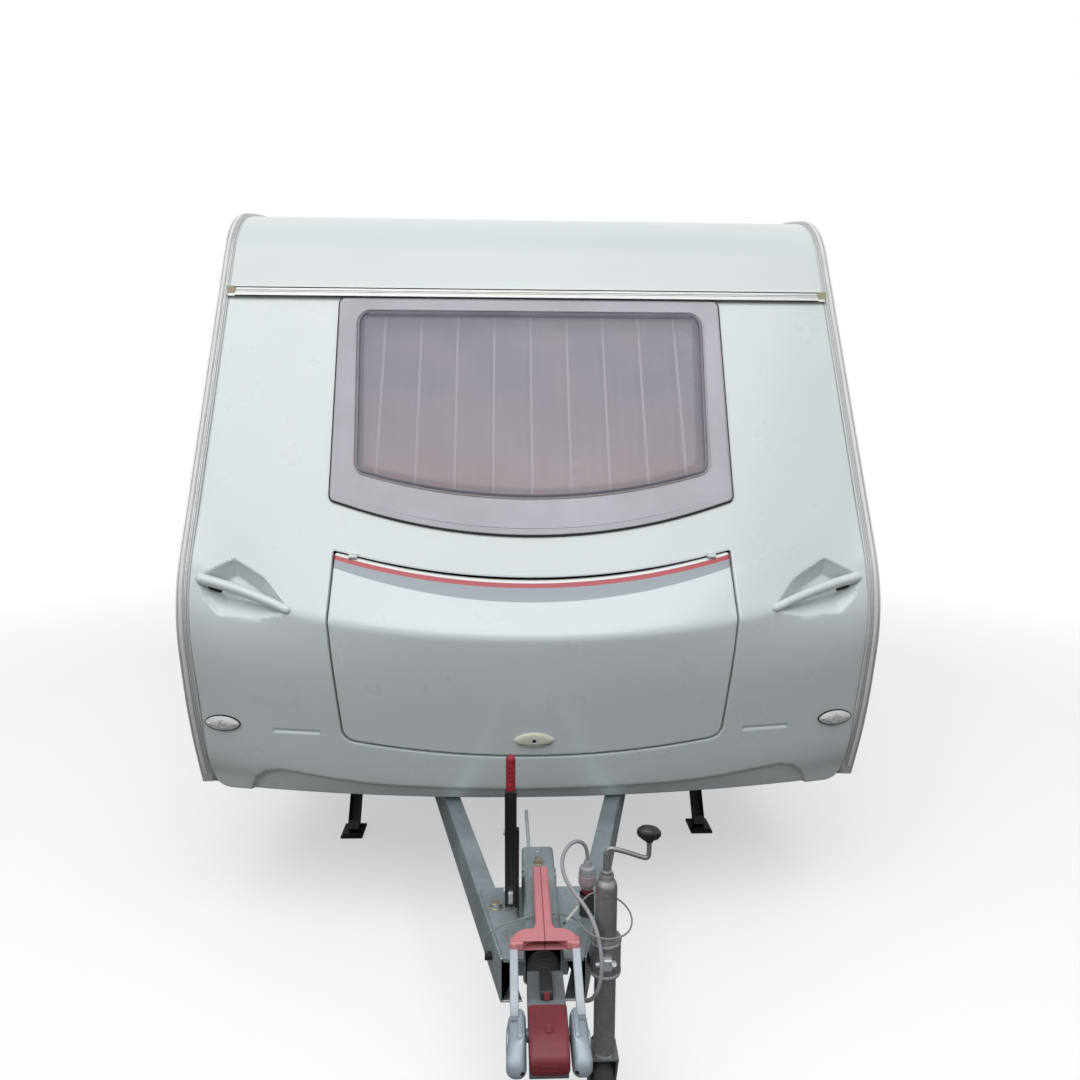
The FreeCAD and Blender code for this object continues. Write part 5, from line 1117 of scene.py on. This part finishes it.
# Rails: lines sighted on the solid's own surface
railSurface = sights("body_rails")
rail = dict(middle=(0.5, 1.40), turn=138, steps=420, low=0.475, bead=(1.0465, 0.0005, 0.0062), half=1.026,
            seams=((1.0385, -0.0002, 0.0011, 1.0), (1.0545, -0.0002, 0.0011, 1.0),
                   (1.0335, -0.0003, 0.0015, 0.6)), across=dict(top=2.0665, seam=2.0565, foot=2.0365),
            acrossSteps=80)


def aroundBody(x, lift):
    path = []
    for k in range(rail["steps"] + 1):
        turn = math.radians(rail["turn"] * (2 * k / rail["steps"] - 1))
        way = Vector((0, math.sin(turn), math.cos(turn)))
        hit = railSurface.ray_cast(Vector((x, *rail["middle"])) + way * 6, -way)[0]
        if hit is not None and hit.z >= rail["low"]:
            path.append(hit + way * lift)
    return path


def runs(path, gap=0.12):
    made, here = [], [path[0]]
    for a, b in zip(path, path[1:]):
        if (b - a).length > gap:
            made.append(here)
            here = []
        here.append(b)
    made.append(here)
    return [r for r in made if len(r) > 4]


softened("body_rails", 0.0012, 2)
white, soft = [], []
for side in (-1, 1):
    x, lift, radius = rail["bead"]
    white += [pipe(run, radius, 12, squash=0.75) for run in runs(aroundBody(side * x, lift))]
    for x, lift, radius, squash in rail["seams"]:
        soft += [pipe(run, radius, 8, squash=squash) for run in runs(aroundBody(side * x, lift))]
frontLines = {}
for key, z in rail["across"].items():
    xs = (rail["half"] * (2 * k / rail["acrossSteps"] - 1) for k in range(rail["acrossSteps"] + 1))
    hits = [fromFront(railSurface, x, z)[0] for x in xs]
    frontLines[key] = [hit for hit in hits if hit is not None and hit.y < -0.5]
detail("railBeads", white, "body_rails", "front_bead")
edgeLines = [pipe(frontLines["top"], 0.0020, 8), pipe(frontLines["foot"], 0.0022, 8)]
detail("railLines", edgeLines, "body_rails", "rubber_seal")
detail("railSeams", soft, "body_rails", "seam_grey")
detail("railInserts", [pipe(frontLines["seam"], 0.0011, 8)], "body_rails", "rail_insert")
caps = []
for side in (-1, 1):
    hit = fromFront(railSurface, side * 1.012, 2.05)[0]
    caps.append(sideBlock(side, (1.0005, hit.y - 0.0035, 2.0345), (1.0285, hit.y + 0.012, 2.0695), 0.0025))
detail("railEndCaps", caps, "body_rails", "end_cap")
print("rails made")

# Grab bars: flattened, thicker at the outer end
grabBar = dict(line=((0.727, 1.0610), (0.790, 1.0850), (0.860, 1.1085), (0.930, 1.1285), (0.992, 1.1440)),
               lift=0.004, radius=0.0152, swell=(0.90, 0.20))
handles = []
for side in (-1, 1):
    line = through([(side * x, frontY(x, z) + grabBar["lift"], z) for x, z in grabBar["line"]], 30)
    path, radii = domes(list(line), grabBar["radius"])
    path = np.array(path)
    first, last = grabBar["line"][0][0], grabBar["line"][-1][0]
    share = np.clip((np.abs(path[:, 0]) - first) / (last - first), 0, 1)
    thin, more = grabBar["swell"]
    handles.append(pipe(path, np.array(radii) * (thin + more * share), 20, up=lengthways))
skin("grabBars", handles, "grab_handles", even=False)
slotLine = ((0.935, 1.104), (0.965, 1.112), (0.990, 1.120))
grabSlots = []
for side in (-1, 1):
    line = [(side * x, float(frontY(x, z)) + 0.024, z) for x, z in slotLine]
    grabSlots.append(pipe(through(line, 8), 0.0045, 10))
# Painted shade: dark slot for the shade in the pocket behind each grab bar
detail("grabSlots", grabSlots, "front_panel", "dark_hollow")


# Marker lamps: oval domed lenses on a seat, each with two screws and a bulb
def almond(x, z, a, b, count=64):
    return [Vector((x + a * c, z + b * math.copysign(abs(s) ** 1.25, s))) for c, s in wayRound(count)]


lens = dict(spot=(0.957, 0.690), half=(0.056, 0.025), screw=0.041)
for index, side in enumerate((-1, 1)):
    mx, mz = lens["spot"]
    oval = almond(side * mx, mz, *lens["half"])
    dome = lambda flat, oval=oval: 0.0062 + 0.0065 * smooth(away(flat, oval), 0.0, 0.017)
    obj = patch("markerLens" + "LR"[index], oval, (), dome, spacing=0.006, depth=0.006, curl=0.002)
    finish(obj, "marker_lamps", ["marker_lamps"] if index == 0 else (), angle=50)
    seat = frontBead(inset(oval, -0.0005), 0.001, 0.0022, 0.0045, step=0.006)
    detail("markerSeat" + "LR"[index], [seat], "marker_lamps", "rubber_seal")
    screws = []
    for shift in (-lens["screw"], lens["screw"]):
        x = side * mx + shift
        spot = (x, float(frontY(x, mz)) - 0.0095, mz)
        screws.append(lathe([(0.0042, 0), (0.0042, 0.0016), (0.003, 0.0026), (0.001, 0.0028)], spot,
                            (0, -1, 0), 18))
    detail("markerScrews" + "LR"[index], screws, "marker_lamps", "fork_steel")
    bulb = [lathe([(0.0150, 0), (0.0150, 0.0022), (0.0125, 0.0030), (0.0115, 0.0012), (0.0070, 0.0012),
                   (0.0060, 0.0030), (0.001, 0.0042)],
                  (side * mx - side * 0.006, float(frontY(side * mx, mz)) - 0.0122, mz), (0, -1, 0), 32)]
    detail("markerBulb" + "LR"[index], bulb, "marker_lamps", "bead_pale")

# Latch: cream plate with a ringed keyhole and a line below it, both dark with painted shade
latch = dict(half=(0.060, 0.024), z=0.664)
plateLine = almond(0, latch["z"], *latch["half"])
plateLift = lambda flat: 0.0055 + 0.0035 * smooth(away(flat, plateLine), 0.0, 0.010)
obj = patch("latchPlate", plateLine, (), plateLift, spacing=0.006, depth=0.0085, curl=0.002)
finish(obj, "locker_latch", ["locker_latch"], angle=50)
keyY = float(frontY(0, latch["z"])) - 0.0089
key = [lathe([(0.0095, 0), (0.0095, 0.0016), (0.0080, 0.0024), (0.0070, 0.0016)], (0, keyY, latch["z"]),
             (0, -1, 0), 32)]
detail("latchRing", key, "locker_latch", "fork_steel")
hole = [lathe([(0.0060, 0), (0.0060, 0.0018)], (0, keyY, latch["z"]), (0, -1, 0), 24),
        frontBead([(-0.048, latch["z"] - 0.013), (0.048, latch["z"] - 0.013)], 0.0088, 0.0008, 0.0006,
                  loop=False)]
# Painted shade inside the keyhole and the line below it
detail("latchHole", hole, "locker_latch", "dark_hollow", even=False)
softened("hinges", 0.0008, 2, pieceName="doorHinges", drop=lambda f: f.calc_center_median().y < -1.6)
softened("hinges", 0.0008, 2, pieceName="lidHinges", finishName="front_moulding",
         drop=lambda f: f.calc_center_median().y > -1.6)
print("front details made")

# Curtains: pleated sheets hung behind each window
pleat = dict(pitch=0.124, depth=0.0045, fold=0.011, sheet=0.0011)


def pleated(u):
    at = (u / pleat["pitch"]) % 1.0
    near = np.minimum(at, 1 - at) * pleat["pitch"]
    return pleat["depth"] * (np.exp(-(near / pleat["fold"]) ** 2) * 1.7 - 0.7
                             + 0.25 * np.sin(2 * np.pi * u / 0.041 + 0.7))


def curtain(name, width, height, where, replaced=()):
    across = np.linspace(-width / 2, width / 2, max(24, int(width / 0.006)))
    down = np.linspace(0, 1, max(8, int(height / 0.05)))
    sway = pleated(across)
    mid = np.array([[where(x, t, s * (0.75 + 0.25 * (1 - t))) for x, s in zip(across, sway)] for t in down])
    thick = np.array(where(0, 0.5, pleat["sheet"])) - np.array(where(0, 0.5, 0))
    thick = thick / max(np.linalg.norm(thick), 1e-9) * pleat["sheet"]
    rows, columns = mid.shape[:2]
    points = np.concatenate([(mid - thick / 2).reshape(-1, 3), (mid + thick / 2).reshape(-1, 3)])
    total = rows * columns
    faces = []
    for i in range(rows - 1):
        for j in range(columns - 1):
            a = i * columns + j
            faces.append((a, a + 1, a + columns + 1, a + columns))
            faces.append((total + a, total + a + columns, total + a + columns + 1, total + a + 1))
    border = [(0, j) for j in range(columns)] + [(i, columns - 1) for i in range(1, rows)]
    border += [(rows - 1, j) for j in range(columns - 2, -1, -1)] + [(i, 0) for i in range(rows - 2, 0, -1)]
    rim = [i * columns + j for i, j in border]
    for a, b in zip(rim, rim[1:] + rim[:1]):
        faces.append((a, total + a, total + b, b))
    obj = made(name, [(points, faces)])
    finish(obj, "curtains", replaced, angle=60)


cloth = dict(frontFoot=1.358, frontBow=0.095, frontHalf=0.689, frontTop=2.030, frontDrawn=0.028,
             frontBehind=0.0373, sideX=1.0177, overlap=0.039, tailFoot=1.292, tailTop=1.938)
clothSurface = sights("curtains")


def frontCloth(x, t, sway):
    foot = cloth["frontFoot"] - cloth["frontBow"] * (1 - (x / cloth["frontHalf"]) ** 2)
    z = foot + t * (cloth["frontTop"] - foot)
    x = x * (1 - cloth["frontDrawn"] * (1 - t))
    return (x, float(frontY(x, z)) + cloth["frontBehind"] + sway, z)


def sideCloth(side, y0, y1, z0, z1):
    return lambda u, t, sway: (side * (cloth["sideX"] + sway), (y0 + y1) / 2 + u, z0 + t * (z1 - z0))


def tailCloth(x, t, sway):
    z = cloth["tailFoot"] + t * (cloth["tailTop"] - cloth["tailFoot"])
    hit = fromFront(clothSurface, x * 0.995, z, 0.8)[0]
    return (x, (hit.y if hit else 2.75) + 0.007 + sway, z)


curtain("frontCurtain", 2 * cloth["frontHalf"], 0.70, frontCloth, ["curtains"])
openings = {1: [(-1.29, -0.5, 1.34, 1.86), (0.3, 0.76, 1.56, 1.90), (1.5, 2.3, 1.34, 1.90)],
            -1: [(-1.29, -0.8, 1.34, 1.86), (0.16, 0.70, 1.38, 1.90), (1.5, 2.2, 1.34, 1.90)]}
for side, places in openings.items():
    for index, (y0, y1, z0, z1) in enumerate(places):
        more = cloth["overlap"]
        curtain("sideCurtain" + "R L"[1 - side] + str(index), y1 - y0 + 2 * more, z1 - z0 + 2 * more,
                sideCloth(side, y0 - more, y1 + more, z0 - more, z1 + more))
curtain("tailCurtain", 1.478, cloth["tailTop"] - cloth["tailFoot"], tailCloth)
print("curtains made")


# Repeated shapes: one shape set out along a step, or turned about an axis, count times
def repeatTree():
    tree = bpy.data.node_groups.new("repeatShape", "GeometryNodeTree")
    face = tree.interface
    face.new_socket(name="Geometry", in_out="INPUT", socket_type="NodeSocketGeometry")
    kinds = dict(Count="Int", Step="Vector", Turn="Vector", Centre="Vector", Spread="Float", Seed="Int",
                 Paint="Material")
    for name, kind in kinds.items():
        face.new_socket(name=name, in_out="INPUT", socket_type="NodeSocket" + kind)
    face.new_socket(name="Geometry", in_out="OUTPUT", socket_type="NodeSocketGeometry")
    given = add(tree, "NodeGroupInput").outputs
    line = add(tree, "GeometryNodeMeshLine", {"Count": given["Count"], "Offset": given["Step"]},
               mode="OFFSET")
    index = add(tree, "GeometryNodeInputIndex").outputs[0]
    turn = add(tree, "ShaderNodeVectorMath", {0: given["Turn"]}, operation="SCALE")
    tree.links.new(index, turn.inputs["Scale"])
    size = add(tree, "FunctionNodeRandomValue", {"Seed": given["Seed"]}, data_type="FLOAT")
    low = add(tree, "ShaderNodeMath", {0: 1.0, 1: given["Spread"]}, operation="SUBTRACT").outputs[0]
    tree.links.new(low, size.inputs[2])
    size.inputs[3].default_value = 1.0
    each = add(tree, "GeometryNodeInstanceOnPoints", {
        "Points": line.outputs[0], "Instance": given["Geometry"], "Rotation": turn.outputs[0]})
    tree.links.new(size.outputs[1], each.inputs["Scale"])
    real = add(tree, "GeometryNodeRealizeInstances", {"Geometry": each.outputs[0]}).outputs[0]
    moved = add(tree, "GeometryNodeTransform", {"Geometry": real, "Translation": given["Centre"]}).outputs[0]
    painted = add(tree, "GeometryNodeSetMaterial", {"Geometry": moved, "Material": given["Paint"]}).outputs[0]
    out = add(tree, "NodeGroupOutput")
    tree.links.new(painted, out.inputs[0])
    return tree


repeatGroup = repeatTree()


def repeated(name, shapes, node, count, step=origin, turn=origin, centre=origin, spread=0.0):
    obj = made(name, shapes)
    modifier = obj.modifiers.new("repeat", "NODES")
    modifier.node_group = repeatGroup
    keys = {item.name: item.identifier for item in repeatGroup.interface.items_tree if item.in_out == "INPUT"}
    values = dict(Count=count, Step=step, Turn=turn, Centre=centre, Spread=spread, Seed=7,
                  Paint=finishes[slots[node]])
    for key, value in values.items():
        modifier[keys[key]] = value
    bpy.context.view_layer.update()
    settle(obj, modifier)
    finish(obj, node)


# Road wheels: tyre with grooves and shoulder blocks, pressed rim with bolts and cap
wheel = dict(x=0.915, y=0.80, radius=0.307, seat=0.9175, bolts=0.056, cup=0.898)
carcass = [(0.1785, -0.0590), (0.186, -0.0660), (0.200, -0.0755), (0.222, -0.0865), (0.2425, -0.0915),
           (0.262, -0.0900), (0.280, -0.0840), (0.2935, -0.0765), (0.2985, -0.0660)]
for at in (-0.046, -0.016, 0.016, 0.046):
    carcass += [(0.3025, at - 0.0055), (0.2965, at - 0.0040), (0.2965, at + 0.0040), (0.3025, at + 0.0055)]
carcass += [(r, -h) for r, h in carcass[8::-1]]
# Each row of blocks: its distance from the middle, half its width, its skew and its outer radius
tyreTread = dict(count=64, foot=0.2960, half=0.0105, rib=(0.0095, 0.0115),
                 rows=((0.031, 0.0100, 0.0030, 0.3068), (0.0605, 0.0085, -0.0045, 0.3045)))


def treadBlock(corners, high):
    return slab(corners, origin, sideways, lengthways, upwards, tyreTread["foot"], high, 0.0012, 3)


blocks = []
for s, (x, wide, skew, high) in itertools.product((-1, 1), tyreTread["rows"]):
    half = tyreTread["half"]
    blocks.append(treadBlock([(s * x - wide, s * skew - half), (s * x + wide, -s * skew - half),
                              (s * x + wide, half - s * skew), (s * x - wide, half + s * skew)], high))
ribWide, ribLong = tyreTread["rib"]
blocks.append(treadBlock(rectangle(-ribWide, ribWide, -ribLong, ribLong), wheel["radius"]))
for side, name in ((1, "left"), (-1, "right")):
    spot = (side * wheel["x"], wheel["y"], wheel["radius"])
    tyre, rim = "tyre_" + name, "wheel_rim_" + name
    skin("tyreBody" + name, [lathe(carcass, spot, sideways, 128, loop=True)], tyre, even=False)
    lines = [lathe([(r - 0.002, s * 0.080), (r, s * w), (r + 0.0015, s * (w + 0.0009)), (r + 0.003, s * w),
                    (r + 0.005, s * 0.080)], spot, sideways, 96, loop=True)
             for s in (-1, 1) for r, w in ((0.2150, 0.0838), (0.2700, 0.0872))]
    detail("tyreLines" + name, lines, tyre)
    repeated("tyreTread" + name, blocks, tyre, tyreTread["count"],
             turn=(2 * math.pi / tyreTread["count"], 0, 0), centre=spot, spread=0.002)
    softened(rim, 0.0016, 2)
    bolts = []
    for c, s in wayRound(5):
        base = (side * wheel["seat"], wheel["y"] + wheel["bolts"] * c, wheel["radius"] + wheel["bolts"] * s)
        bolts += bolt(base, (side, 0, 0), 0.017, 0.010, 0.0125)
    cup = lathe([(0.0335, 0.034), (0.0335, 0.038), (0.030, 0.041), (0.018, 0.0425), (0.001, 0.043)],
                (side * wheel["cup"], *spot[1:]), (side, 0, 0), 48)
    detail("wheelBolts" + name, bolts + [cup], rim, "fork_steel")
    valve = [pipe([(side * 0.936, spot[1], spot[2] + 0.158), (side * 0.952, spot[1], spot[2] + 0.150)],
                  [0.0045, 0.0035], 12)]
    detail("wheelValve" + name, valve, rim, "trim_dark")
print("wheels made")

# Chassis, axle and steadies
for name, width in (("chassis_rails", 0.003), ("cross_members", 0.0015), ("axle", 0.003)):
    softened(name, width, 3, angle=40)
steadies = dict(steady_front_left=(0.69, -1.131), steady_front_right=(-0.69, -1.131),
                steady_rear_left=(0.69, 2.556), steady_rear_right=(-0.69, 2.556))
footRib = dict(half=0.036, deep=0.006, z=(0.0138, 0.0175), at=(-0.045, 0.038))
for name in steadies:
    softened(name, 0.0015, 2)
screws = []
for side, y, x in itertools.product((-1, 1), (0.590, 0.710), (0.475, 0.535)):
    screws += bolt((side * x, y, 0.3305), (0, 0, -1), 0.017, 0.010, 0.013)
detail("axleBolts", screws, "axle", "brass_zinc")
for name, (x, y) in steadies.items():
    half, (low, high) = footRib["half"], footRib["z"]
    footRibs = [block((x - half, y + dy, low), (x + half, y + dy + footRib["deep"], high), 0.001)
                for dy in footRib["at"]]
    detail(name.replace("_", "") + "Ribs", footRibs, name)
print("chassis made")

# Body: walls, roof, tail, windows, covers and lamps
for name in ("side_wall_left", "side_wall_right"):
    softened(name, 0.002, 2, angle=40, wide=(lambda e: all(v.co.z < 0.4386 and v.co.y < -1.6 for v in e.verts)
                                             and abs(e.verts[0].co.x - e.verts[1].co.x) > 0.01, 0.055, 8))
edgeWidths = dict(roof=0.002, tail_panel=0.003, door=0.003, floor=0.0015, locker_box=0.0015,
                  rear_bumper=0.010, wheel_arch_trims=0.004, service_covers=0.0025, cabin_windows=0.004,
                  door_window=0.004, rooflights=0.004, door_handle=0.005, tail_lamps=0.006)
for name, width in edgeWidths.items():
    softened(name, width, 3 if width > 0.002 else 2, angle=40)


def wallLine(side, corners, x, wide, high, step=0.012):
    flat = pairs(refine(rounded(corners, 0.012), step))
    normal = closedCrosswise(flat)
    columns = []
    for c, s in wayRound(8):
        spot = flat + normal * wide * c
        columns.append(np.stack([np.full(len(flat), side * (x + high * s)), spot[:, 0], spot[:, 1]], axis=1))
    return rings(np.stack(columns, axis=1), loop=True)


# Lines around each opening: how far out they run, their corner radius, distance from the middle and section
seal = dict(grow=0.018, radius=0.062, x=1.0555, wide=0.0045, high=0.003)
paneBead = dict(grow=-0.022, radius=0.045, x=1.0652, wide=0.0018, high=0.0009)


def openingLines(grow, radius, x, wide, high):
    return [wallLine(side, softBox(y0 - grow, y1 + grow, z0 - grow, z1 + grow, radius), x, wide, high)
            for side, places in openings.items() for y0, y1, z0, z1 in places]


doorFrame = wallLine(-1, softBox(-0.717, -0.133, 0.487, 2.241, 0.068), 1.0550, 0.0028, 0.0022)
detail("wallSeals", openingLines(**seal) + [doorFrame], "side_wall_left", "rubber_seal")
detail("paneBeads", openingLines(**paneBead), "front_window", "bead_pale")
doorSeals = [wallLine(-1, softBox(-0.643, -0.207, 1.456, 2.112, 0.062), 1.0553, 0.0040, 0.003)]
detail("doorSeals", doorSeals, "door", "rubber_seal")
doorSwages = [pipe([(-1.0556, y, z) for y in (-0.66, -0.20)], 0.0035, 10, squash=0.6)
              for z in (0.62, 0.80, 0.98, 1.16)]
detail("doorSwages", doorSwages, "door")
swageRuns = {-1: ((-1.60, -0.74), (-0.10, 2.60)), 1: ((-1.60, -0.18), (0.32, 2.60))}
wallSwages = [pipe([(side * 1.0552, y, z) for y in run], 0.0045, 10, squash=0.55)
              for side in (-1, 1) for z in (0.985, 1.045) for run in swageRuns[side]]
detail("wallSwages", wallSwages, "side_wall_left")
slat = [slab(rounded([(0.0, 0.0, 0.001), (0.0085, 0.0025, 0.002), (0.0085, 0.0055, 0.002),
                      (0.0, 0.010, 0.001)], 0.001), (1.0635, 0, 0), sideways, upwards, lengthways, -0.185,
             0.185, 0.0008, 3)]
repeated("lowerLouvres", slat, "service_covers", 9, step=(0, 0, 0.0185), centre=(0, 0.07, 0.722))
repeated("upperLouvres", slat, "service_covers", 5, step=(0, 0, 0.0185), centre=(0, 0.07, 1.208))
hatchBits = [wallLine(1, softBox(1.875, 2.425, 0.585, 0.875, 0.020), 1.0600, 0.0020, 0.0012)]
detail("hatchSeam", hatchBits, "service_covers", "rubber_seal")
lockDisc = [(0.016, 0), (0.016, 0.004), (0.013, 0.006), (0.001, 0.0062)]
turnKeys = []
for y in (1.95, 2.35):
    turnKeys.append(lathe(lockDisc, (1.0598, y, 0.845), sideways, 32))
    turnKeys.append(block((1.0640, y - 0.010, 0.8425), (1.0690, y + 0.010, 0.8475), 0.0012))
detail("hatchLocks", turnKeys, "service_covers", "trim_dark")
reflectors = [sideBlock(side, (1.0545, y - 0.045, 0.555), (1.0600, y + 0.045, 0.595), 0.002)
              for side in (-1, 1) for y in (-1.45, 2.62)]
detail("sideReflectors", reflectors, "side_wall_left", "amber_lens")
tailLens = [(0.050, -0.004), (0.050, 0.0015), (0.046, 0.0040), (0.030, 0.0062), (0.001, 0.0070)]
tailSurface = sights("tail_lamps")
for z, finishName in ((0.715, "amber_lens"), (0.780, "lamp_lens"), (0.845, "lamp_red")):
    spots = [tailSurface.ray_cast(Vector((side * 0.85, 4, z)), Vector((0, -1, 0)))[0] for side in (-1, 1)]
    lenses = [lathe(tailLens, tuple(spot), lengthways, 48, squash=(2.35, 0.52)) for spot in spots]
    detail("tailLens" + finishName[:5].replace("_", ""), lenses, "tail_lamps", finishName)
print("body made")

# Cables: the solids' own routes as smooth curves
cables = dict(
    electric=dict(radius=0.0045, route=[
        (110, -2410, 576), (110, -2410, 602), (95, -2420, 630), (68, -2440, 638), (45, -2464, 618),
        (46, -2488, 586), (66, -2512, 560), (92, -2546, 544), (110, -2584, 524), (119, -2610, 492),
        (122, -2628, 456), (116, -2640, 418), (104, -2632, 384), (91, -2608, 360), (82, -2580, 346),
        (79, -2550, 342.3), (79, -2524, 342.3)]),
    breakaway=dict(radius=0.002, route=[
        (-128, -2470, 384), (-132, -2476, 414), (-122, -2482, 442), (-96, -2484, 460), (-60, -2482, 472),
        (-18, -2480, 482), (24, -2484, 487), (58, -2504, 496), (78, -2546, 508), (88, -2594, 516),
        (113, -2628, 519), (150, -2630, 518), (182, -2606, 517), (196, -2566, 520), (190, -2526, 527),
        (166, -2503, 537), (132, -2496, 546), (103, -2505, 548), (86, -2519, 536)]))


def cableCurve(name, node, route, radius):
    curve = bpy.data.curves.new(name, "CURVE")
    curve.dimensions = "3D"
    curve.bevel_depth = radius
    curve.bevel_resolution = 5
    curve.resolution_u = 8
    curve.use_fill_caps = True
    line = curve.splines.new("NURBS")
    line.points.add(len(route) - 1)
    for point, spot in zip(line.points, route):
        point.co = (*(c / 1000 for c in spot), 1)
    line.order_u = 3
    line.use_endpoint_u = True
    curve.materials.append(finishes[slots[node]])
    obj = linked(name, curve)
    belongs(obj, node, [node])
    return obj


lead = cableCurve("towingLead", "electric_cable", **cables["electric"])
wire = cableCurve("breakawayWire", "breakaway_cable", **cables["breakaway"])
print("cables made")

# Solids that keep their own shape
for name, node in nodes.items():
    if not node.hide_render:
        finish(node, name, angle=32)
print("solids dressed")

# Floor, lights and camera
stage = dict(size=60.0, floor=0.20, seen=0.52, glow=0.52, fade=(3.0, 5.5), sky=0.64)
# Each panel: its place, what it faces, its width and height, and its power
panels = dict(skyPanel=((-0.6, -6.0, 8.0), (0, -1.6, 1.2), (8, 7), 440),
              leftPanel=((-6, -7, 4), (0, -1.6, 1.0), (4, 4), 62),
              rightPanel=((7, -6, 5), (0, -1, 1.2), (4, 4), 25))


def paleFloor():
    far = stage["size"]
    obj = fromFaces("stageFloor", [(*corner, 0) for corner in rectangle(-far, far, -far, far)],
                    [(0, 1, 2, 3)])
    made, tree = blank("stagePale")
    path = add(tree, "ShaderNodeLightPath").outputs
    tone = mixed(tree, path["Is Camera Ray"], rgba([stage["floor"]] * 3), rgba([stage["seen"]] * 3))
    shader = add(tree, "ShaderNodeBsdfDiffuse", {"Color": tone})
    glow = add(tree, "ShaderNodeEmission", {
        "Color": (1, 1, 1, 1), "Strength": solve(tree, "MULTIPLY", path["Is Camera Ray"], stage["glow"])})
    near = add(tree, "ShaderNodeAddShader", {0: shader.outputs[0], 1: glow.outputs[0]})
    spot = add(tree, "ShaderNodeTexCoord").outputs["Object"]
    out = add(tree, "ShaderNodeVectorMath", {0: spot}, operation="LENGTH").outputs["Value"]
    blend = solve(tree, "MULTIPLY", path["Is Camera Ray"], ramp(tree, out, *stage["fade"]))
    pale = add(tree, "ShaderNodeEmission", {"Color": (1, 1, 1, 1), "Strength": 1.0})
    both = add(tree, "ShaderNodeMixShader", {0: blend, 1: near.outputs[0], 2: pale.outputs[0]})
    add(tree, "ShaderNodeOutputMaterial", {"Surface": both.outputs[0]})
    obj.data.materials.append(made)


def areaLight(name, spot, target, size, power):
    lamp = bpy.data.lights.new(name, "AREA")
    lamp.shape = "RECTANGLE"
    lamp.size, lamp.size_y = size
    lamp.energy = power
    obj = linked(name, lamp)
    obj.location = spot
    obj.rotation_euler = (Vector(target) - Vector(spot)).to_track_quat("-Z", "Y").to_euler()


def skyLight(strength):
    world = bpy.data.worlds.new("softRoom")
    bpy.context.scene.world = world
    world.use_nodes = True
    tree = world.node_tree
    tree.nodes.clear()
    path = add(tree, "ShaderNodeLightPath").outputs
    seen = solve(tree, "MAXIMUM", path["Is Camera Ray"], solve(
        tree, "MAXIMUM", path["Is Glossy Ray"], path["Is Transmission Ray"]))
    spot = add(tree, "ShaderNodeTexCoord").outputs["Generated"]
    way = add(tree, "ShaderNodeSeparateXYZ", {0: spot}).outputs[2]
    amount = ramp(tree, way, -0.15, 0.9, 0.12 * strength, strength)
    light = add(tree, "ShaderNodeBackground", {"Color": (0.88, 0.95, 1.0, 1), "Strength": amount})
    white = add(tree, "ShaderNodeBackground", {"Color": (1, 1, 1, 1), "Strength": 1.0})
    both = add(tree, "ShaderNodeMixShader", {0: seen, 1: light.outputs[0], 2: white.outputs[0]})
    add(tree, "ShaderNodeOutputWorld", {"Surface": both.outputs[0]})


paleFloor()
skyLight(stage["sky"])
for panelName, values in panels.items():
    areaLight(panelName, *values)

shot = dict(spot=(-0.0775, -4.2338, 1.5843), turn=-2.2455, pitch=-7.5488, roll=0.2449, lens=820.2 / 1080 * 36)
camera = bpy.data.cameras.new("photoCamera")
camera.sensor_width = 36
camera.lens = shot["lens"]
camera.clip_end = 200
cameraObject = linked("photoCamera", camera)
cameraObject.location = shot["spot"]
aim = Matrix.Rotation(math.radians(shot["turn"]), 3, "Z") @ Matrix.Rotation(
    math.radians(90 + shot["pitch"]), 3, "X") @ Matrix.Rotation(math.radians(shot["roll"]), 3, "Z")
cameraObject.rotation_euler = aim.to_euler()
bpy.context.scene.camera = cameraObject
bpy.context.scene.view_settings.view_transform = "Standard"
print("stage set")
